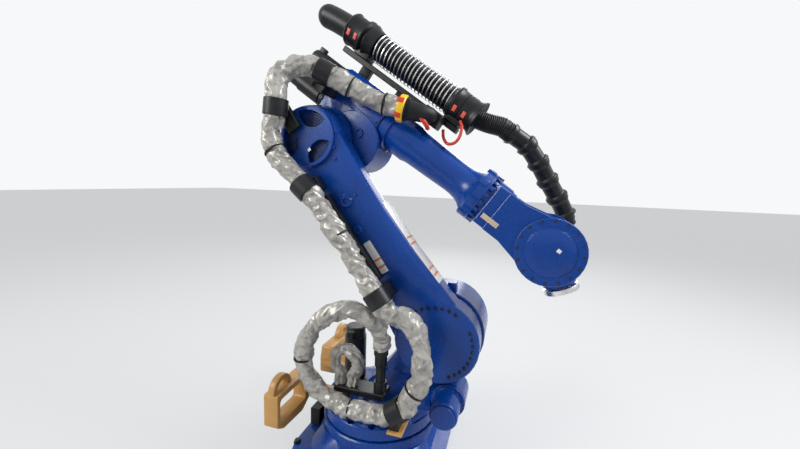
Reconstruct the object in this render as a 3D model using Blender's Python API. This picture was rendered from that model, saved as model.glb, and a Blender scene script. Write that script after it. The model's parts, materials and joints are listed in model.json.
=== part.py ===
"""A six-axis industrial robot arm with its hose and cable dress pack, in metres, +Z up.

The rotating axes are S (turntable), L (lower arm), U (elbow), R (forearm roll), B (wrist bend) and
T (tool flange). Each moving body is modelled in a frame of its own, whose empty lies on its axis.
"""

import math

import bmesh
import bpy
from mathutils import Matrix, Vector

# Main frame of the robot
S_TO_L = 0.335
L_HEIGHT = 0.68
ARM_LENGTH = 1.145
ELBOW_RISE = 0.25
FOREARM_REACH = 1.19
WRIST_REACH = 0.215
ARM_LEAN_DEG = 34.4
FOREARM_DIP_DEG = 35.1
WRIST_DIP_DEG = 33.0

# Clearances
FIT_GAP = 0.0003
OVERRUN = 0.02
SOFT_EDGE = 0.006
FINE_EDGE = 0.003
SWIVEL_GAP = 0.005

# Base
BASE_HALF = 0.385
BASE_PLATE = 0.035
BASE_CORNER = 0.07
BASE_WAIST_HALF = 0.30
BASE_WAIST_Z = 0.115
BASE_DRUM_RADIUS = 0.315
BASE_HEIGHT = 0.165
BASE_BOX_SIZE = (0.06, 0.26, 0.10)

# Turntable and its head casting
FLANGE_RADIUS = 0.305
FLANGE_THICK = 0.068
FLANGE_LEDGE = 0.034
NOTCH_COUNT = 16
NOTCH_RADIUS = 0.021
NOTCH_CIRCLE = 0.283
PLATFORM_RADIUS = 0.262
PLATFORM_THICK = 0.022
L_HOUSING_RADIUS = 0.215
L_HOUSING_NEAR = 0.055
L_HOUSING_FAR = 0.19
LUG_SIZE = (0.045, 0.05, 0.04)
DRIVE_X = 0.40
DRIVE_Z = 0.37
DRIVE_RADIUS = 0.067
DRIVE_NEAR = 0.28
DRIVE_SEAT = 0.14
DRIVE_FLANGE_RADIUS = 0.084
DRIVE_FLANGE = 0.016
DRIVE_CAP = 0.012
DRIVE_CAP_RADIUS = 0.058

# Motors
MOTOR_RADIUS = 0.062
MOTOR_FLANGE_RADIUS = 0.07
MOTOR_FLANGE = 0.02
MOTOR_NECK_RADIUS = 0.052
MOTOR_NECK = 0.012
MOTOR_CAP = 0.055
S_MOTOR_AT = (-0.175, 0.03)
S_MOTOR_LENGTH = 0.34
L_MOTOR_LENGTH = 0.27
U_MOTOR_LENGTH = 0.22
WRIST_MOTOR_LENGTH = 0.23
WRIST_MOTOR_RADIUS = 0.048

# Lower arm
ARM_DRUM_RADIUS = 0.205
ARM_DRUM_NEAR = 0.20
ARM_DRUM_FAR = 0.06
BOSS_RADIUS = 0.17
HUB_SHARE = 0.6
BOSS_FACE_RADIUS = 0.145
BOSS_NEAR = 0.268
BOSS_FAR = 0.137
BOSS_CAP = 0.012
BOSS_RECESS = 0.02
WINDOW_RADIUS = 0.125
WINDOW_ARC = 0.075
WINDOW_OUT = 0.122
WINDOW_ANGLES_DEG = (40, 160, 280)
SCREEN_THICK = 0.004
ARM_FACE_AT_FOOT = 0.193
ARM_FLARE = 0.0686
RAIL_SIZE = (0.03, 0.04, 0.47)
RAIL_AT = (-0.068, 0.39)

# Elbow casting, about the U axis with +X along the forearm
ELBOW_NEAR = 0.13
ELBOW_FAR = 0.13
ELBOW_DRUM_RADIUS = 0.163
BULGE_AT = (0.125, 0.085)
BULGE_RADIUS = 0.152
BULGE_NEAR = 0.1215
WEB_HALF = 0.1175
R_HOUSING_RADIUS = 0.122
R_HOUSING_BACK = 0.13
R_HOUSING_FRONT = 0.2
EYE_RADIUS = 0.02
EYE_WIRE = 0.005
EYE_AT = (0.142, 0.142)

# Forearm and wrist, along the R axis
TUBE_ROOT_RADIUS = 0.112
TUBE_ROOT = 0.045
TUBE_BACK_RADIUS = 0.101
TUBE_SWELL_END = 0.37
TUBE_MID_RADIUS = 0.094
TUBE_FRONT_RADIUS = 0.08
TUBE_TAPER_END = 0.70
TUBE_FLANGE_RADIUS = 0.128
TUBE_END = 0.80
FORK_FLANGE = 0.03
FORK_HALF_WIDTH = 0.135
FORK_HALF_HEIGHT = 0.118
FORK_END_RADIUS = 0.142
FORK_SLOT_HALF = 0.086
FORK_SLOT_DEPTH = 0.235
WRIST_HALF_WIDTH = 0.079
WRIST_RADIUS = 0.112
T_HOUSING_RADIUS = 0.074
TOOL_FLANGE_RADIUS = 0.08
TOOL_FLANGE = 0.025
COVER_RADIUS = 0.152
COVER_RIM = 0.012
COVER_STEP_RADIUS = 0.108
COVER_STEP = 0.008
COVER_DOME = 0.005

# Hose sleeve and its clamps
SLEEVE_RADIUS = 0.044
SLEEVE_Y = -0.36
CLAMP_RADIUS = 0.056
CLAMP_WIDTH = 0.075
CLAMP_FOOT = 0.05
INNER_SLEEVE_RADIUS = 0.026

CLAMP_LINER = 0.003
STRAIGHT_RUN = 0.05
LOOP_SLEEVE_RADIUS = 0.04
SHELF_TOP = 0.415
CONNECTOR_TOP = (0.083, -0.25, 0.63)
LOOP_CLAMP_AT = (0.205, -0.36, 0.407)
LOOP_CLAMP_WAY = (0.126, 0.0, 0.10)
ARM_CLAMP_LOW = (-0.062, -0.36, 0.329)
ARM_CLAMP_LOW_WAY = (-0.01, 0.0, 0.20)
ARM_CLAMP_MID = (-0.100, -0.36, 0.925)
ARM_CLAMP_MID_WAY = (-0.05, 0.0, 0.20)
ARM_CLAMP_TOP = (-0.021, -0.36, 1.306)
ARM_CLAMP_TOP_WAY = (0.65, 0.0, 0.76)
ELBOW_CLAMP = (-0.110, -0.245, 0.032)
ELBOW_CLAMP_WAY = (0.085, 0.03, 0.012)
GLAND_AT = (0.268, -0.150, 0.113)
GLAND_WAY = (0.128, 0.018, 0.047)
GLAND_RADIUS = 0.063
GLAND_WIDTH = 0.034
COLLAR_RADIUS = 0.03
JUNCTION_BOX = ((0.33, -0.07, 0.125), (0.43, 0.0247, 0.198))

# Dress pack above the forearm
PACK_Y = 0.06
PACK_Z = 0.285
PACK_TUBE_RADIUS = 0.062
PACK_TUBE_BACK = -0.52
PACK_CLAMP_BACK = -0.20
PACK_CLAMP_LENGTH = 0.10
PACK_CLAMP_RADIUS = 0.084
SPRING_BACK = -0.085
SPRING_FRONT = 0.40
SPRING_RADIUS = 0.072
SPRING_WIRE = 0.0042
SPRING_TURNS = 21
SPRING_STEPS = 9
PACK_HOSE_RADIUS = 0.046
PACK_RAIL_BACK = -0.26
PACK_RAIL_FRONT = 0.50
PACK_RAIL_Z = 0.165
PACK_RAIL_SIZE = (0.07, 0.03)
BALL_RADIUS = 0.045
CONDUIT_RADIUS = 0.035
CONDUIT_BALLS = 6
BALL_STEPS = 6
CONDUIT_WAY = (0.104, 0.035, 0.004)
CONDUIT_ROUTE = [(0.71, 0.10, 0.325), (0.817, 0.135, 0.325), (0.908, 0.165, 0.296), (0.976, 0.19, 0.267),
                 (1.046, 0.215, 0.237), (1.13, 0.245, 0.203), (1.19, 0.265, 0.172)]

collections = {}


def collection(name):
    """Return the named collection, made and linked on first use."""
    if name not in collections:
        collections[name] = bpy.data.collections.new(name)
        bpy.context.scene.collection.children.link(collections[name])
    return collections[name]


def material(name, colour, roughness, metallic=0.0):
    """Return a Principled material of this plain colour."""
    found = bpy.data.materials.get(name)
    if found:
        return found
    made = bpy.data.materials.new(name)
    made.use_nodes = True
    shader = made.node_tree.nodes["Principled BSDF"]
    shader.inputs["Base Color"].default_value = (*colour, 1.0)
    shader.inputs["Roughness"].default_value = roughness
    shader.inputs["Metallic"].default_value = metallic
    made.diffuse_color = (*colour, 1.0)
    return made


def blue():
    """The robot's blue paint."""
    return material("blue_paint", (0.012, 0.07, 0.40), 0.32)


def black():
    """Black moulded plastic and motor paint."""
    return material("black_plastic", (0.014, 0.015, 0.018), 0.45)


def ochre():
    """Yellow-brown paint of the transport pieces."""
    return material("ochre_paint", (0.55, 0.28, 0.06), 0.5)


def silver():
    """Aluminium-faced cloth of the hose sleeves."""
    return material("silver_cloth", (0.50, 0.47, 0.42), 0.42, 0.3)


def yellow():
    """Yellow plastic of the cable gland."""
    return material("yellow_plastic", (0.80, 0.50, 0.02), 0.4)


def steel():
    """Bright steel wire."""
    return material("bright_steel", (0.75, 0.75, 0.76), 0.22, 1.0)


def place(obj, name, mat, parent):
    """Name an object, give it its material and hang it under its frame."""
    obj.name = name
    for home in list(obj.users_collection):
        home.objects.unlink(obj)
    collection("robot_arm").objects.link(obj)
    obj.data.materials.clear()
    obj.data.materials.append(mat)
    obj.parent = parent
    return obj


def mesh_object(mesh_data):
    """Return a new object in the scene for this mesh or curve."""
    obj = bpy.data.objects.new(mesh_data.name, mesh_data)
    bpy.context.scene.collection.objects.link(obj)
    return obj


def from_bmesh(bm, name):
    """Turn a bmesh into an object with its faces pointing out."""
    bmesh.ops.recalc_face_normals(bm, faces=bm.faces)
    data = bpy.data.meshes.new(name)
    bm.to_mesh(data)
    bm.free()
    return mesh_object(data)


def frame(name, parent, at=(0, 0, 0), turn_y=0.0):
    """Add an empty that carries one moving body."""
    empty = bpy.data.objects.new(name, None)
    collection("frames").objects.link(empty)
    empty.parent = parent
    empty.location = at
    empty.rotation_euler = (0, turn_y, 0)
    return empty


def box(low, high, edge=0.0):
    """A box between two corners, with its edges bevelled."""
    bm = bmesh.new()
    size = [b - a for a, b in zip(low, high)]
    middle = [(a + b) / 2 for a, b in zip(low, high)]
    bmesh.ops.create_cube(bm, size=1, matrix=Matrix.Translation(middle) @ Matrix.Diagonal((*size, 1)))
    if edge:
        bmesh.ops.bevel(bm, geom=bm.edges[:], offset=edge, segments=1, profile=0.5, affect="EDGES")
    return from_bmesh(bm, "box")


def turned(profile, axis="Z", at=(0, 0, 0), steps=24):
    """Revolve (place along axis, radius) pairs into a closed solid about an axis through at."""
    bm = bmesh.new()
    rings = []
    for along, radius in profile:
        if radius == 0:
            rings.append([bm.verts.new((0, 0, along))])
            continue
        turn = [2 * math.pi * k / steps for k in range(steps)]
        rings.append([bm.verts.new((radius * math.cos(a), radius * math.sin(a), along)) for a in turn])
    for low, high in zip(rings, rings[1:]):
        bridge(bm, low, high)
    for end in (rings[0], rings[-1]):
        if len(end) > 1:
            bm.faces.new(end)
    spin = {"X": Matrix.Rotation(math.pi / 2, 4, "Y"), "Y": Matrix.Rotation(-math.pi / 2, 4, "X")}
    bm.transform(Matrix.Translation(at) @ spin.get(axis, Matrix.Identity(4)))
    return from_bmesh(bm, "turned")


def bridge(bm, low, high):
    """Join two rings of vertices, either of which may be a single point."""
    count = max(len(low), len(high))
    for k in range(count):
        a, b = low[k % len(low)], low[(k + 1) % len(low)]
        c, d = high[(k + 1) % len(high)], high[k % len(high)]
        corners = [v for i, v in enumerate((a, b, c, d)) if v not in (a, b, c, d)[:i]]
        bm.faces.new(corners)


def cylinder(radius, low, high, axis="Z", at=(0, 0, 0), edge=0.0, steps=24):
    """A cylinder from low to high along an axis, with chamfered rims."""
    if edge:
        return turned([(low, radius - edge), (low + edge, radius), (high - edge, radius), (high, radius - edge)],
                      axis, at, steps)
    return turned([(low, radius), (high, radius)], axis, at, steps)


def loft(sections, steps=24, power=4.0):
    """Join level superellipse sections: each is (z, x low, x high, y low, y high, power or None)."""
    bm = bmesh.new()
    rings = []
    for z, x_low, x_high, y_low, y_high, own in sections:
        rings.append([bm.verts.new(p) for p in superellipse(z, x_low, x_high, y_low, y_high, own or power, steps)])
    for low, high in zip(rings, rings[1:]):
        bridge(bm, low, high)
    bm.faces.new(rings[0])
    bm.faces.new(rings[-1])
    return from_bmesh(bm, "loft")


def superellipse(z, x_low, x_high, y_low, y_high, power, steps):
    """Points of a rounded rectangle at one level."""
    points = []
    for k in range(steps):
        angle = 2 * math.pi * (k + 0.5) / steps
        cos, sin = math.cos(angle), math.sin(angle)
        reach = (abs(cos) ** power + abs(sin) ** power) ** (-1 / power)
        x = (x_low + x_high) / 2 + (x_high - x_low) / 2 * reach * cos
        y = (y_low + y_high) / 2 + (y_high - y_low) / 2 * reach * sin
        points.append((x, y, z))
    return points


def smooth_path(points, count):
    """Points at even steps along a smooth curve through the route's own points."""
    route = [Vector(p) for p in points]
    route = [2 * route[0] - route[1]] + route + [2 * route[-1] - route[-2]]
    fine = []
    for a, b, c, d in zip(route, route[1:], route[2:], route[3:]):
        for k in range(24):
            fine.append(catmull(a, b, c, d, k / 24))
    fine.append(route[-2])
    lengths = [0.0]
    for a, b in zip(fine, fine[1:]):
        lengths.append(lengths[-1] + (b - a).length)
    return [at_length(fine, lengths, lengths[-1] * k / (count - 1)) for k in range(count)]


def catmull(a, b, c, d, t):
    """One point of a Catmull-Rom curve between b and c."""
    return 0.5 * (2 * b + (c - a) * t + (2 * a - 5 * b + 4 * c - d) * t ** 2 + (3 * b - a - 3 * c + d) * t ** 3)


def at_length(points, lengths, wanted):
    """The point that lies a given length along a fine polyline."""
    for i in range(1, len(points)):
        if lengths[i] >= wanted - 1e-9:
            share = (wanted - lengths[i - 1]) / max(lengths[i] - lengths[i - 1], 1e-9)
            return points[i - 1].lerp(points[i], share)
    return points[-1]


def tube(points, radius, resolution=2):
    """A round bar along a polyline, as a bevelled curve with filled caps."""
    data = bpy.data.curves.new("tube", "CURVE")
    data.dimensions = "3D"
    data.bevel_depth = radius
    data.bevel_resolution = resolution
    data.use_fill_caps = True
    spline = data.splines.new("POLY")
    spline.points.add(len(points) - 1)
    for target, point in zip(spline.points, points):
        target.co = (*point, 1.0)
    return mesh_object(data)


def plate(outline, low, high, axis="Y", edge=0.0):
    """A flat outline given thickness from low to high along an axis.

    The outline's points are (x, z) for axis Y and (y, z) for axis X.
    """
    bm = bmesh.new()
    way = "XYZ".index(axis)
    ring = [bm.verts.new((u, low, v) if axis == "Y" else (low, u, v)) for u, v in outline]
    face = bm.faces.new(ring)
    grown = bmesh.ops.extrude_face_region(bm, geom=[face])["geom"]
    shift = [0.0, 0.0, 0.0]
    shift[way] = high - low
    bmesh.ops.translate(bm, vec=shift, verts=[v for v in grown if isinstance(v, bmesh.types.BMVert)])
    if edge:
        bmesh.ops.recalc_face_normals(bm, faces=bm.faces)
        rims = [e for e in bm.edges if abs(e.verts[0].co[way] - e.verts[1].co[way]) < edge]
        bmesh.ops.bevel(bm, geom=rims, offset=edge, segments=1, profile=0.5, affect="EDGES")
    return from_bmesh(bm, "plate")


def arc(centre, radius, start_deg, end_deg, steps):
    """Points of an arc between two angles."""
    turn = [math.radians(start_deg + (end_deg - start_deg) * k / steps) for k in range(steps + 1)]
    return [(centre[0] + radius * math.cos(a), centre[1] + radius * math.sin(a)) for a in turn]


def combine(target, others, operation="UNION"):
    """Join other objects into the target, or cut them from it, and remove them."""
    for other in others:
        other.parent = target.parent
        step = target.modifiers.new(operation.lower(), "BOOLEAN")
        step.operation = operation
        step.object = other
        step.solver = "EXACT"
    bpy.context.view_layer.update()
    depsgraph = bpy.context.evaluated_depsgraph_get()
    data = bpy.data.meshes.new_from_object(target.evaluated_get(depsgraph))
    target.modifiers.clear()
    target.data = data
    for other in others:
        bpy.data.objects.remove(other)
    return target


def smooth(obj):
    """Shade round faces smooth and keep sharp edges."""
    obj.data.shade_smooth()
    obj.data.set_sharp_from_angle(angle=math.radians(35))
    return obj


def motor(length, radius, flange_radius):
    """A servo motor along +Z: round flange, neck, body with end cap, and connector on one side."""
    body_low = MOTOR_FLANGE + MOTOR_NECK
    neck = min(MOTOR_NECK_RADIUS, radius - SOFT_EDGE)
    solid = turned([(0, flange_radius), (MOTOR_FLANGE, flange_radius), (MOTOR_FLANGE, neck), (body_low, neck),
                    (body_low, radius), (length - MOTOR_CAP, radius),
                    (length - MOTOR_CAP, radius - SOFT_EDGE), (length - SOFT_EDGE, radius - SOFT_EDGE),
                    (length, radius - 2 * SOFT_EDGE)])
    half = radius / 3
    plug = box((radius - 2 * SOFT_EDGE - half, -half, length - MOTOR_CAP + SOFT_EDGE),
               (radius + half, half, length - 2 * SOFT_EDGE), FINE_EDGE)
    return combine(solid, [plug])


def base_parts(root):
    """The bolted foot, the drum under the turntable and the rear connector box."""
    casting = loft([
        (0, -BASE_HALF, BASE_HALF, -BASE_HALF, BASE_HALF, 9),
        (BASE_PLATE, -BASE_HALF, BASE_HALF, -BASE_HALF, BASE_HALF, 9),
        (BASE_PLATE + SOFT_EDGE, -BASE_HALF + BASE_CORNER, BASE_HALF - BASE_CORNER,
         -BASE_HALF + BASE_CORNER, BASE_HALF - BASE_CORNER, 6),
        (BASE_WAIST_Z, -BASE_WAIST_HALF, BASE_WAIST_HALF, -BASE_WAIST_HALF, BASE_WAIST_HALF, 2.6),
    ], steps=36)
    drum = cylinder(BASE_DRUM_RADIUS, BASE_WAIST_Z - OVERRUN, BASE_HEIGHT, edge=SOFT_EDGE, steps=36)
    smooth(place(combine(casting, [drum]), "base_casting", blue(), root))
    depth, width, height = BASE_BOX_SIZE
    back = -BASE_DRUM_RADIUS - depth
    low = BASE_PLATE + SOFT_EDGE + FIT_GAP
    connectors = box((back, -width / 2, low), (back + depth - FIT_GAP, width / 2, low + height), FINE_EDGE)
    place(connectors, "base_connector_box", black(), root)


def notches(root):
    """Scalloped pockets for the turntable's bolts, cut down to a ledge."""
    low = BASE_HEIGHT + SWIVEL_GAP + FLANGE_LEDGE
    high = BASE_HEIGHT + SWIVEL_GAP + FLANGE_THICK + OVERRUN
    made = []
    for k in range(NOTCH_COUNT):
        angle = 2 * math.pi * (k + 0.5) / NOTCH_COUNT
        at = (NOTCH_CIRCLE * math.cos(angle), NOTCH_CIRCLE * math.sin(angle), 0)
        made.append(cylinder(NOTCH_RADIUS, low, high, at=at, steps=8))
    return made


def head_parts(head):
    """The turntable head with its notched flange, the neck and the L axis housing."""
    low = BASE_HEIGHT + SWIVEL_GAP
    top = low + FLANGE_THICK
    casting = cylinder(FLANGE_RADIUS, low, top, edge=SOFT_EDGE, steps=36)
    combine(casting, notches(head), "DIFFERENCE")
    platform = turned([(top - FLANGE_LEDGE, PLATFORM_RADIUS), (top + PLATFORM_THICK - SOFT_EDGE, PLATFORM_RADIUS),
                       (top + PLATFORM_THICK, PLATFORM_RADIUS - SOFT_EDGE)], steps=36)
    neck = loft([
        (top, -0.10, 0.25, -0.24, 0.25, None),
        (top + 0.09, -0.06, 0.37, -0.20, 0.235, None),
        (top + 0.18, 0.02, 0.45, -L_HOUSING_NEAR, 0.21, None),
        (top + 0.31, 0.11, 0.52, -L_HOUSING_NEAR, L_HOUSING_FAR, None),
        (L_HEIGHT, 0.14, 0.53, -L_HOUSING_NEAR, L_HOUSING_FAR, None),
    ], power=6.0)
    housing = cylinder(L_HOUSING_RADIUS, -L_HOUSING_NEAR, L_HOUSING_FAR, "Y", (S_TO_L, 0, L_HEIGHT), SOFT_EDGE, 36)
    boss = cylinder(DRIVE_FLANGE_RADIUS, -DRIVE_SEAT, 0, "Y", (DRIVE_X, 0, DRIVE_Z))
    lug_low = L_HEIGHT + L_HOUSING_RADIUS - OVERRUN
    lug = box((S_TO_L + OVERRUN, -L_HOUSING_NEAR + SOFT_EDGE, lug_low),
              (S_TO_L + OVERRUN + LUG_SIZE[0], -L_HOUSING_NEAR + LUG_SIZE[1], lug_low + LUG_SIZE[2] + OVERRUN), FINE_EDGE)
    shelf_seat = box((0.13, -0.25, top), (0.24, -0.10, 0.318), FINE_EDGE)
    hub = cylinder(HUB_SHARE * FLANGE_RADIUS, BASE_HEIGHT + FIT_GAP, low + OVERRUN, steps=36)
    combine(casting, [platform, neck, housing, boss, lug, shelf_seat, hub])
    room = cylinder(DRIVE_FLANGE_RADIUS + FINE_EDGE, -DRIVE_NEAR - OVERRUN, -DRIVE_SEAT, "Y", (DRIVE_X, 0, DRIVE_Z))
    combine(casting, [room], "DIFFERENCE")
    smooth(place(casting, "head_casting", blue(), head))


def head_drive(head):
    """The bolted drive cylinder at the head's near foot, with its end cap."""
    seat = -DRIVE_SEAT - FIT_GAP
    barrel = turned([(-DRIVE_NEAR, DRIVE_RADIUS - SOFT_EDGE), (-DRIVE_NEAR + SOFT_EDGE, DRIVE_RADIUS),
                     (seat - DRIVE_FLANGE, DRIVE_RADIUS), (seat - DRIVE_FLANGE, DRIVE_FLANGE_RADIUS),
                     (seat, DRIVE_FLANGE_RADIUS)], "Y", (DRIVE_X, 0, DRIVE_Z))
    smooth(place(barrel, "head_drive_cylinder", blue(), head))
    cap_far = -DRIVE_NEAR - FIT_GAP
    cap = cylinder(DRIVE_CAP_RADIUS, cap_far - DRIVE_CAP, cap_far, "Y", (DRIVE_X, 0, DRIVE_Z), FINE_EDGE)
    smooth(place(cap, "head_drive_cap", blue(), head))


def head_motors(head):
    """The upright S motor and the L motor on the far side."""
    platform_top = BASE_HEIGHT + SWIVEL_GAP + FLANGE_THICK + PLATFORM_THICK
    s_motor = motor(S_MOTOR_LENGTH, MOTOR_RADIUS, MOTOR_FLANGE_RADIUS)
    s_motor.location = (*S_MOTOR_AT, platform_top + FIT_GAP)
    s_motor.rotation_euler = (0, 0, -math.pi / 2)
    smooth(place(s_motor, "s_axis_motor", black(), head))
    l_motor = motor(L_MOTOR_LENGTH, MOTOR_RADIUS, MOTOR_FLANGE_RADIUS)
    l_motor.location = (S_TO_L, L_HOUSING_FAR + FIT_GAP, L_HEIGHT)
    l_motor.rotation_euler = (-math.pi / 2, math.pi / 2, 0)
    smooth(place(l_motor, "l_axis_motor", black(), head))


def arm_face(z):
    """How far the arm's near face stands out at this height along the arm."""
    return ARM_FACE_AT_FOOT + ARM_FLARE * z


def lean_out(obj):
    """Shear a piece so that it lies on the arm's flaring near face."""
    for vertex in obj.data.vertices:
        vertex.co.y -= ARM_FLARE * vertex.co.z
    return obj


def lens_window(face_y, depth, angle_deg):
    """A cutter for one pointed window between the boss rim and the star web."""
    angle = math.radians(angle_deg)
    rim = cylinder(WINDOW_RADIUS, face_y, face_y + depth, "Y", (0, 0, ARM_LENGTH))
    centre = (WINDOW_OUT * math.cos(angle), 0, ARM_LENGTH + WINDOW_OUT * math.sin(angle))
    lens = cylinder(WINDOW_ARC, face_y - OVERRUN, face_y + depth + OVERRUN, "Y", centre)
    return combine(rim, [lens], "INTERSECT")


def lower_arm_casting(arm):
    """The lower arm: bottom drum on the L axis, leaning waist, and the conical boss on the U axis."""
    waist = loft([
        (0, -0.185, 0.185, -arm_face(0), -ARM_DRUM_FAR - SOFT_EDGE, None),
        (0.22, -0.165, 0.165, -arm_face(0.22), -0.078, None),
        (0.42, -0.138, 0.142, -arm_face(0.42), -0.095, None),
        (0.68, -0.120, 0.126, -arm_face(0.68), -0.118, None),
        (0.84, -0.122, 0.128, -arm_face(0.84), -0.132, None),
        (0.96, -0.130, 0.134, -arm_face(0.96), -0.137, None),
        (ARM_LENGTH, -0.140, 0.140, -arm_face(0.96), -BOSS_FAR - SOFT_EDGE, None),
    ], power=12.0)
    drum = cylinder(ARM_DRUM_RADIUS, -ARM_DRUM_NEAR, -ARM_DRUM_FAR, "Y", edge=SOFT_EDGE, steps=36)
    cone = turned([(-BOSS_NEAR, BOSS_FACE_RADIUS), (-BOSS_NEAR + BOSS_RECESS, BOSS_FACE_RADIUS + SOFT_EDGE),
                   (-BOSS_FAR - 3 * SOFT_EDGE, BOSS_RADIUS), (-BOSS_FAR, BOSS_RADIUS)],
                  "Y", (0, 0, ARM_LENGTH), 36)
    recess = cylinder(WINDOW_RADIUS + SOFT_EDGE, -BOSS_NEAR - OVERRUN, -BOSS_NEAR + BOSS_RECESS, "Y",
                      (0, 0, ARM_LENGTH), steps=32)
    hub = cylinder(HUB_SHARE * ARM_DRUM_RADIUS, -ARM_DRUM_FAR - OVERRUN, -L_HOUSING_NEAR - FIT_GAP, "Y")
    combine(waist, [drum, cone, hub])
    combine(waist, [recess], "DIFFERENCE")
    smooth(place(waist, "lower_arm_casting", blue(), arm))


def boss_cover(arm):
    """The star-shaped cover of the boss with three windows, and the screen seen through them."""
    near = -BOSS_NEAR - FIT_GAP - BOSS_CAP
    cover = cylinder(BOSS_FACE_RADIUS - FINE_EDGE, near, near + BOSS_CAP, "Y", (0, 0, ARM_LENGTH), FINE_EDGE, 32)
    windows = [lens_window(near - OVERRUN, BOSS_CAP + 2 * OVERRUN, angle) for angle in WINDOW_ANGLES_DEG]
    combine(cover, windows, "DIFFERENCE")
    smooth(place(cover, "boss_cover", blue(), arm))
    back = -BOSS_NEAR + BOSS_RECESS - FIT_GAP
    screen = cylinder(WINDOW_RADIUS + SOFT_EDGE - FIT_GAP, back - SCREEN_THICK, back, "Y", (0, 0, ARM_LENGTH), steps=32)
    place(screen, "boss_screen", black(), arm)


def arm_rail(arm):
    """The black cable rail along the arm's back edge."""
    width, depth, length = RAIL_SIZE
    x, z = RAIL_AT
    back = -ARM_FACE_AT_FOOT - FIT_GAP
    rail = box((x - width / 2, back - depth, z), (x + width / 2, back, z + length), FINE_EDGE)
    place(lean_out(rail), "arm_cable_rail", black(), arm)


def bore_radius(radius, steps):
    """The bore that leaves the fit gap round a bar, on a faceted circle."""
    return (radius + FIT_GAP) / math.cos(math.pi / steps)


def clamp(centre, way, foot, name, parent):
    """A black split clamp round a sleeve, with the foot block that carries it."""
    turn = Vector(way).to_track_quat("Z", "Y").to_matrix().to_4x4()
    ring = turned([(-CLAMP_WIDTH / 2, CLAMP_RADIUS - FINE_EDGE), (-CLAMP_WIDTH / 2 + FINE_EDGE, CLAMP_RADIUS),
                   (CLAMP_WIDTH / 2 - FINE_EDGE, CLAMP_RADIUS), (CLAMP_WIDTH / 2, CLAMP_RADIUS - FINE_EDGE)],
                  steps=24)
    ring.data.transform(Matrix.Translation(centre) @ turn)
    combine(ring, [foot])
    wall = bore_radius(SLEEVE_RADIUS + CLAMP_LINER, 24)
    bore = turned([(-CLAMP_WIDTH, wall), (CLAMP_WIDTH, wall)], steps=24)
    bore.data.transform(Matrix.Translation(centre) @ turn)
    combine(ring, [bore], "DIFFERENCE")
    return smooth(place(ring, name, black(), parent))


def toward(start, way, distance):
    """The point a distance away from start along a direction."""
    return Vector(start) + Vector(way).normalized() * distance


def straight(start, way):
    """Three points in line from start, so that a hose leaves its fitting square."""
    return [toward(start, way, share * STRAIGHT_RUN) for share in (0, 0.6, 1)]


def through(centre, way, side):
    """The three points by which a sleeve leaves the middle of a clamp, to one side along its way."""
    return [toward(centre, way, side * reach) for reach in (FIT_GAP, CLAMP_WIDTH / 2, CLAMP_WIDTH / 2 + OVERRUN)]


def carried(points, source, target):
    """Points of one body's frame, seen from another body's frame."""
    bpy.context.view_layer.update()
    move = target.matrix_world.inverted() @ source.matrix_world
    return [move @ Vector(p) for p in points]


def sleeve(points, count, name, parent, radius=SLEEVE_RADIUS):
    """One length of silver hose sleeve along a smooth route."""
    return place(tube(smooth_path(points, count), radius), name, silver(), parent)


def arm_foot(centre, width, height):
    """The foot of a clamp on the arm's near face, before it is sheared onto the face."""
    x, y, z = centre
    low = (x - width / 2, y + CLAMP_FOOT + ARM_FLARE * z, z - height / 2)
    high = (x + width / 2, -ARM_FACE_AT_FOOT - FIT_GAP, z + height / 2)
    return lean_out(box(low, high, FINE_EDGE))


def arm_clamps(arm):
    """The three clamps that carry the sleeve along the arm and over its boss."""
    clamp(ARM_CLAMP_LOW, ARM_CLAMP_LOW_WAY, arm_foot(ARM_CLAMP_LOW, 0.06, 0.07), "arm_clamp_low", arm)
    shifted = (ARM_CLAMP_MID[0] + 0.012, ARM_CLAMP_MID[1], ARM_CLAMP_MID[2])
    clamp(ARM_CLAMP_MID, ARM_CLAMP_MID_WAY, arm_foot(shifted, 0.07, 0.07), "arm_clamp_mid", arm)
    x, y, z = ARM_CLAMP_TOP
    seat = -BOSS_NEAR - FIT_GAP - BOSS_CAP - FIT_GAP
    foot = box((x - 0.035, y + CLAMP_FOOT, ARM_LENGTH + 0.05), (x + 0.03, seat, z + 0.04), FINE_EDGE)
    clamp(ARM_CLAMP_TOP, ARM_CLAMP_TOP_WAY, foot, "arm_clamp_top", arm)


def arm_sleeve(arm):
    """The sleeve along the arm, from the low clamp to the top one."""
    start = through(ARM_CLAMP_LOW, ARM_CLAMP_LOW_WAY, 1)
    middle = through(ARM_CLAMP_MID, ARM_CLAMP_MID_WAY, -1)[::-1] + through(ARM_CLAMP_MID, ARM_CLAMP_MID_WAY, 1)[1:]
    end = through(ARM_CLAMP_TOP, ARM_CLAMP_TOP_WAY, -1)[::-1]
    route = start + [(-0.069, -0.36, 0.50), (-0.070, -0.36, 0.655), (-0.078, -0.36, 0.80)]
    route += middle + [(-0.126, -0.36, 1.045), (-0.134, -0.36, 1.15), (-0.100, -0.36, 1.235)] + end
    sleeve(route, 34, "sleeve_arm", arm)


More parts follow.
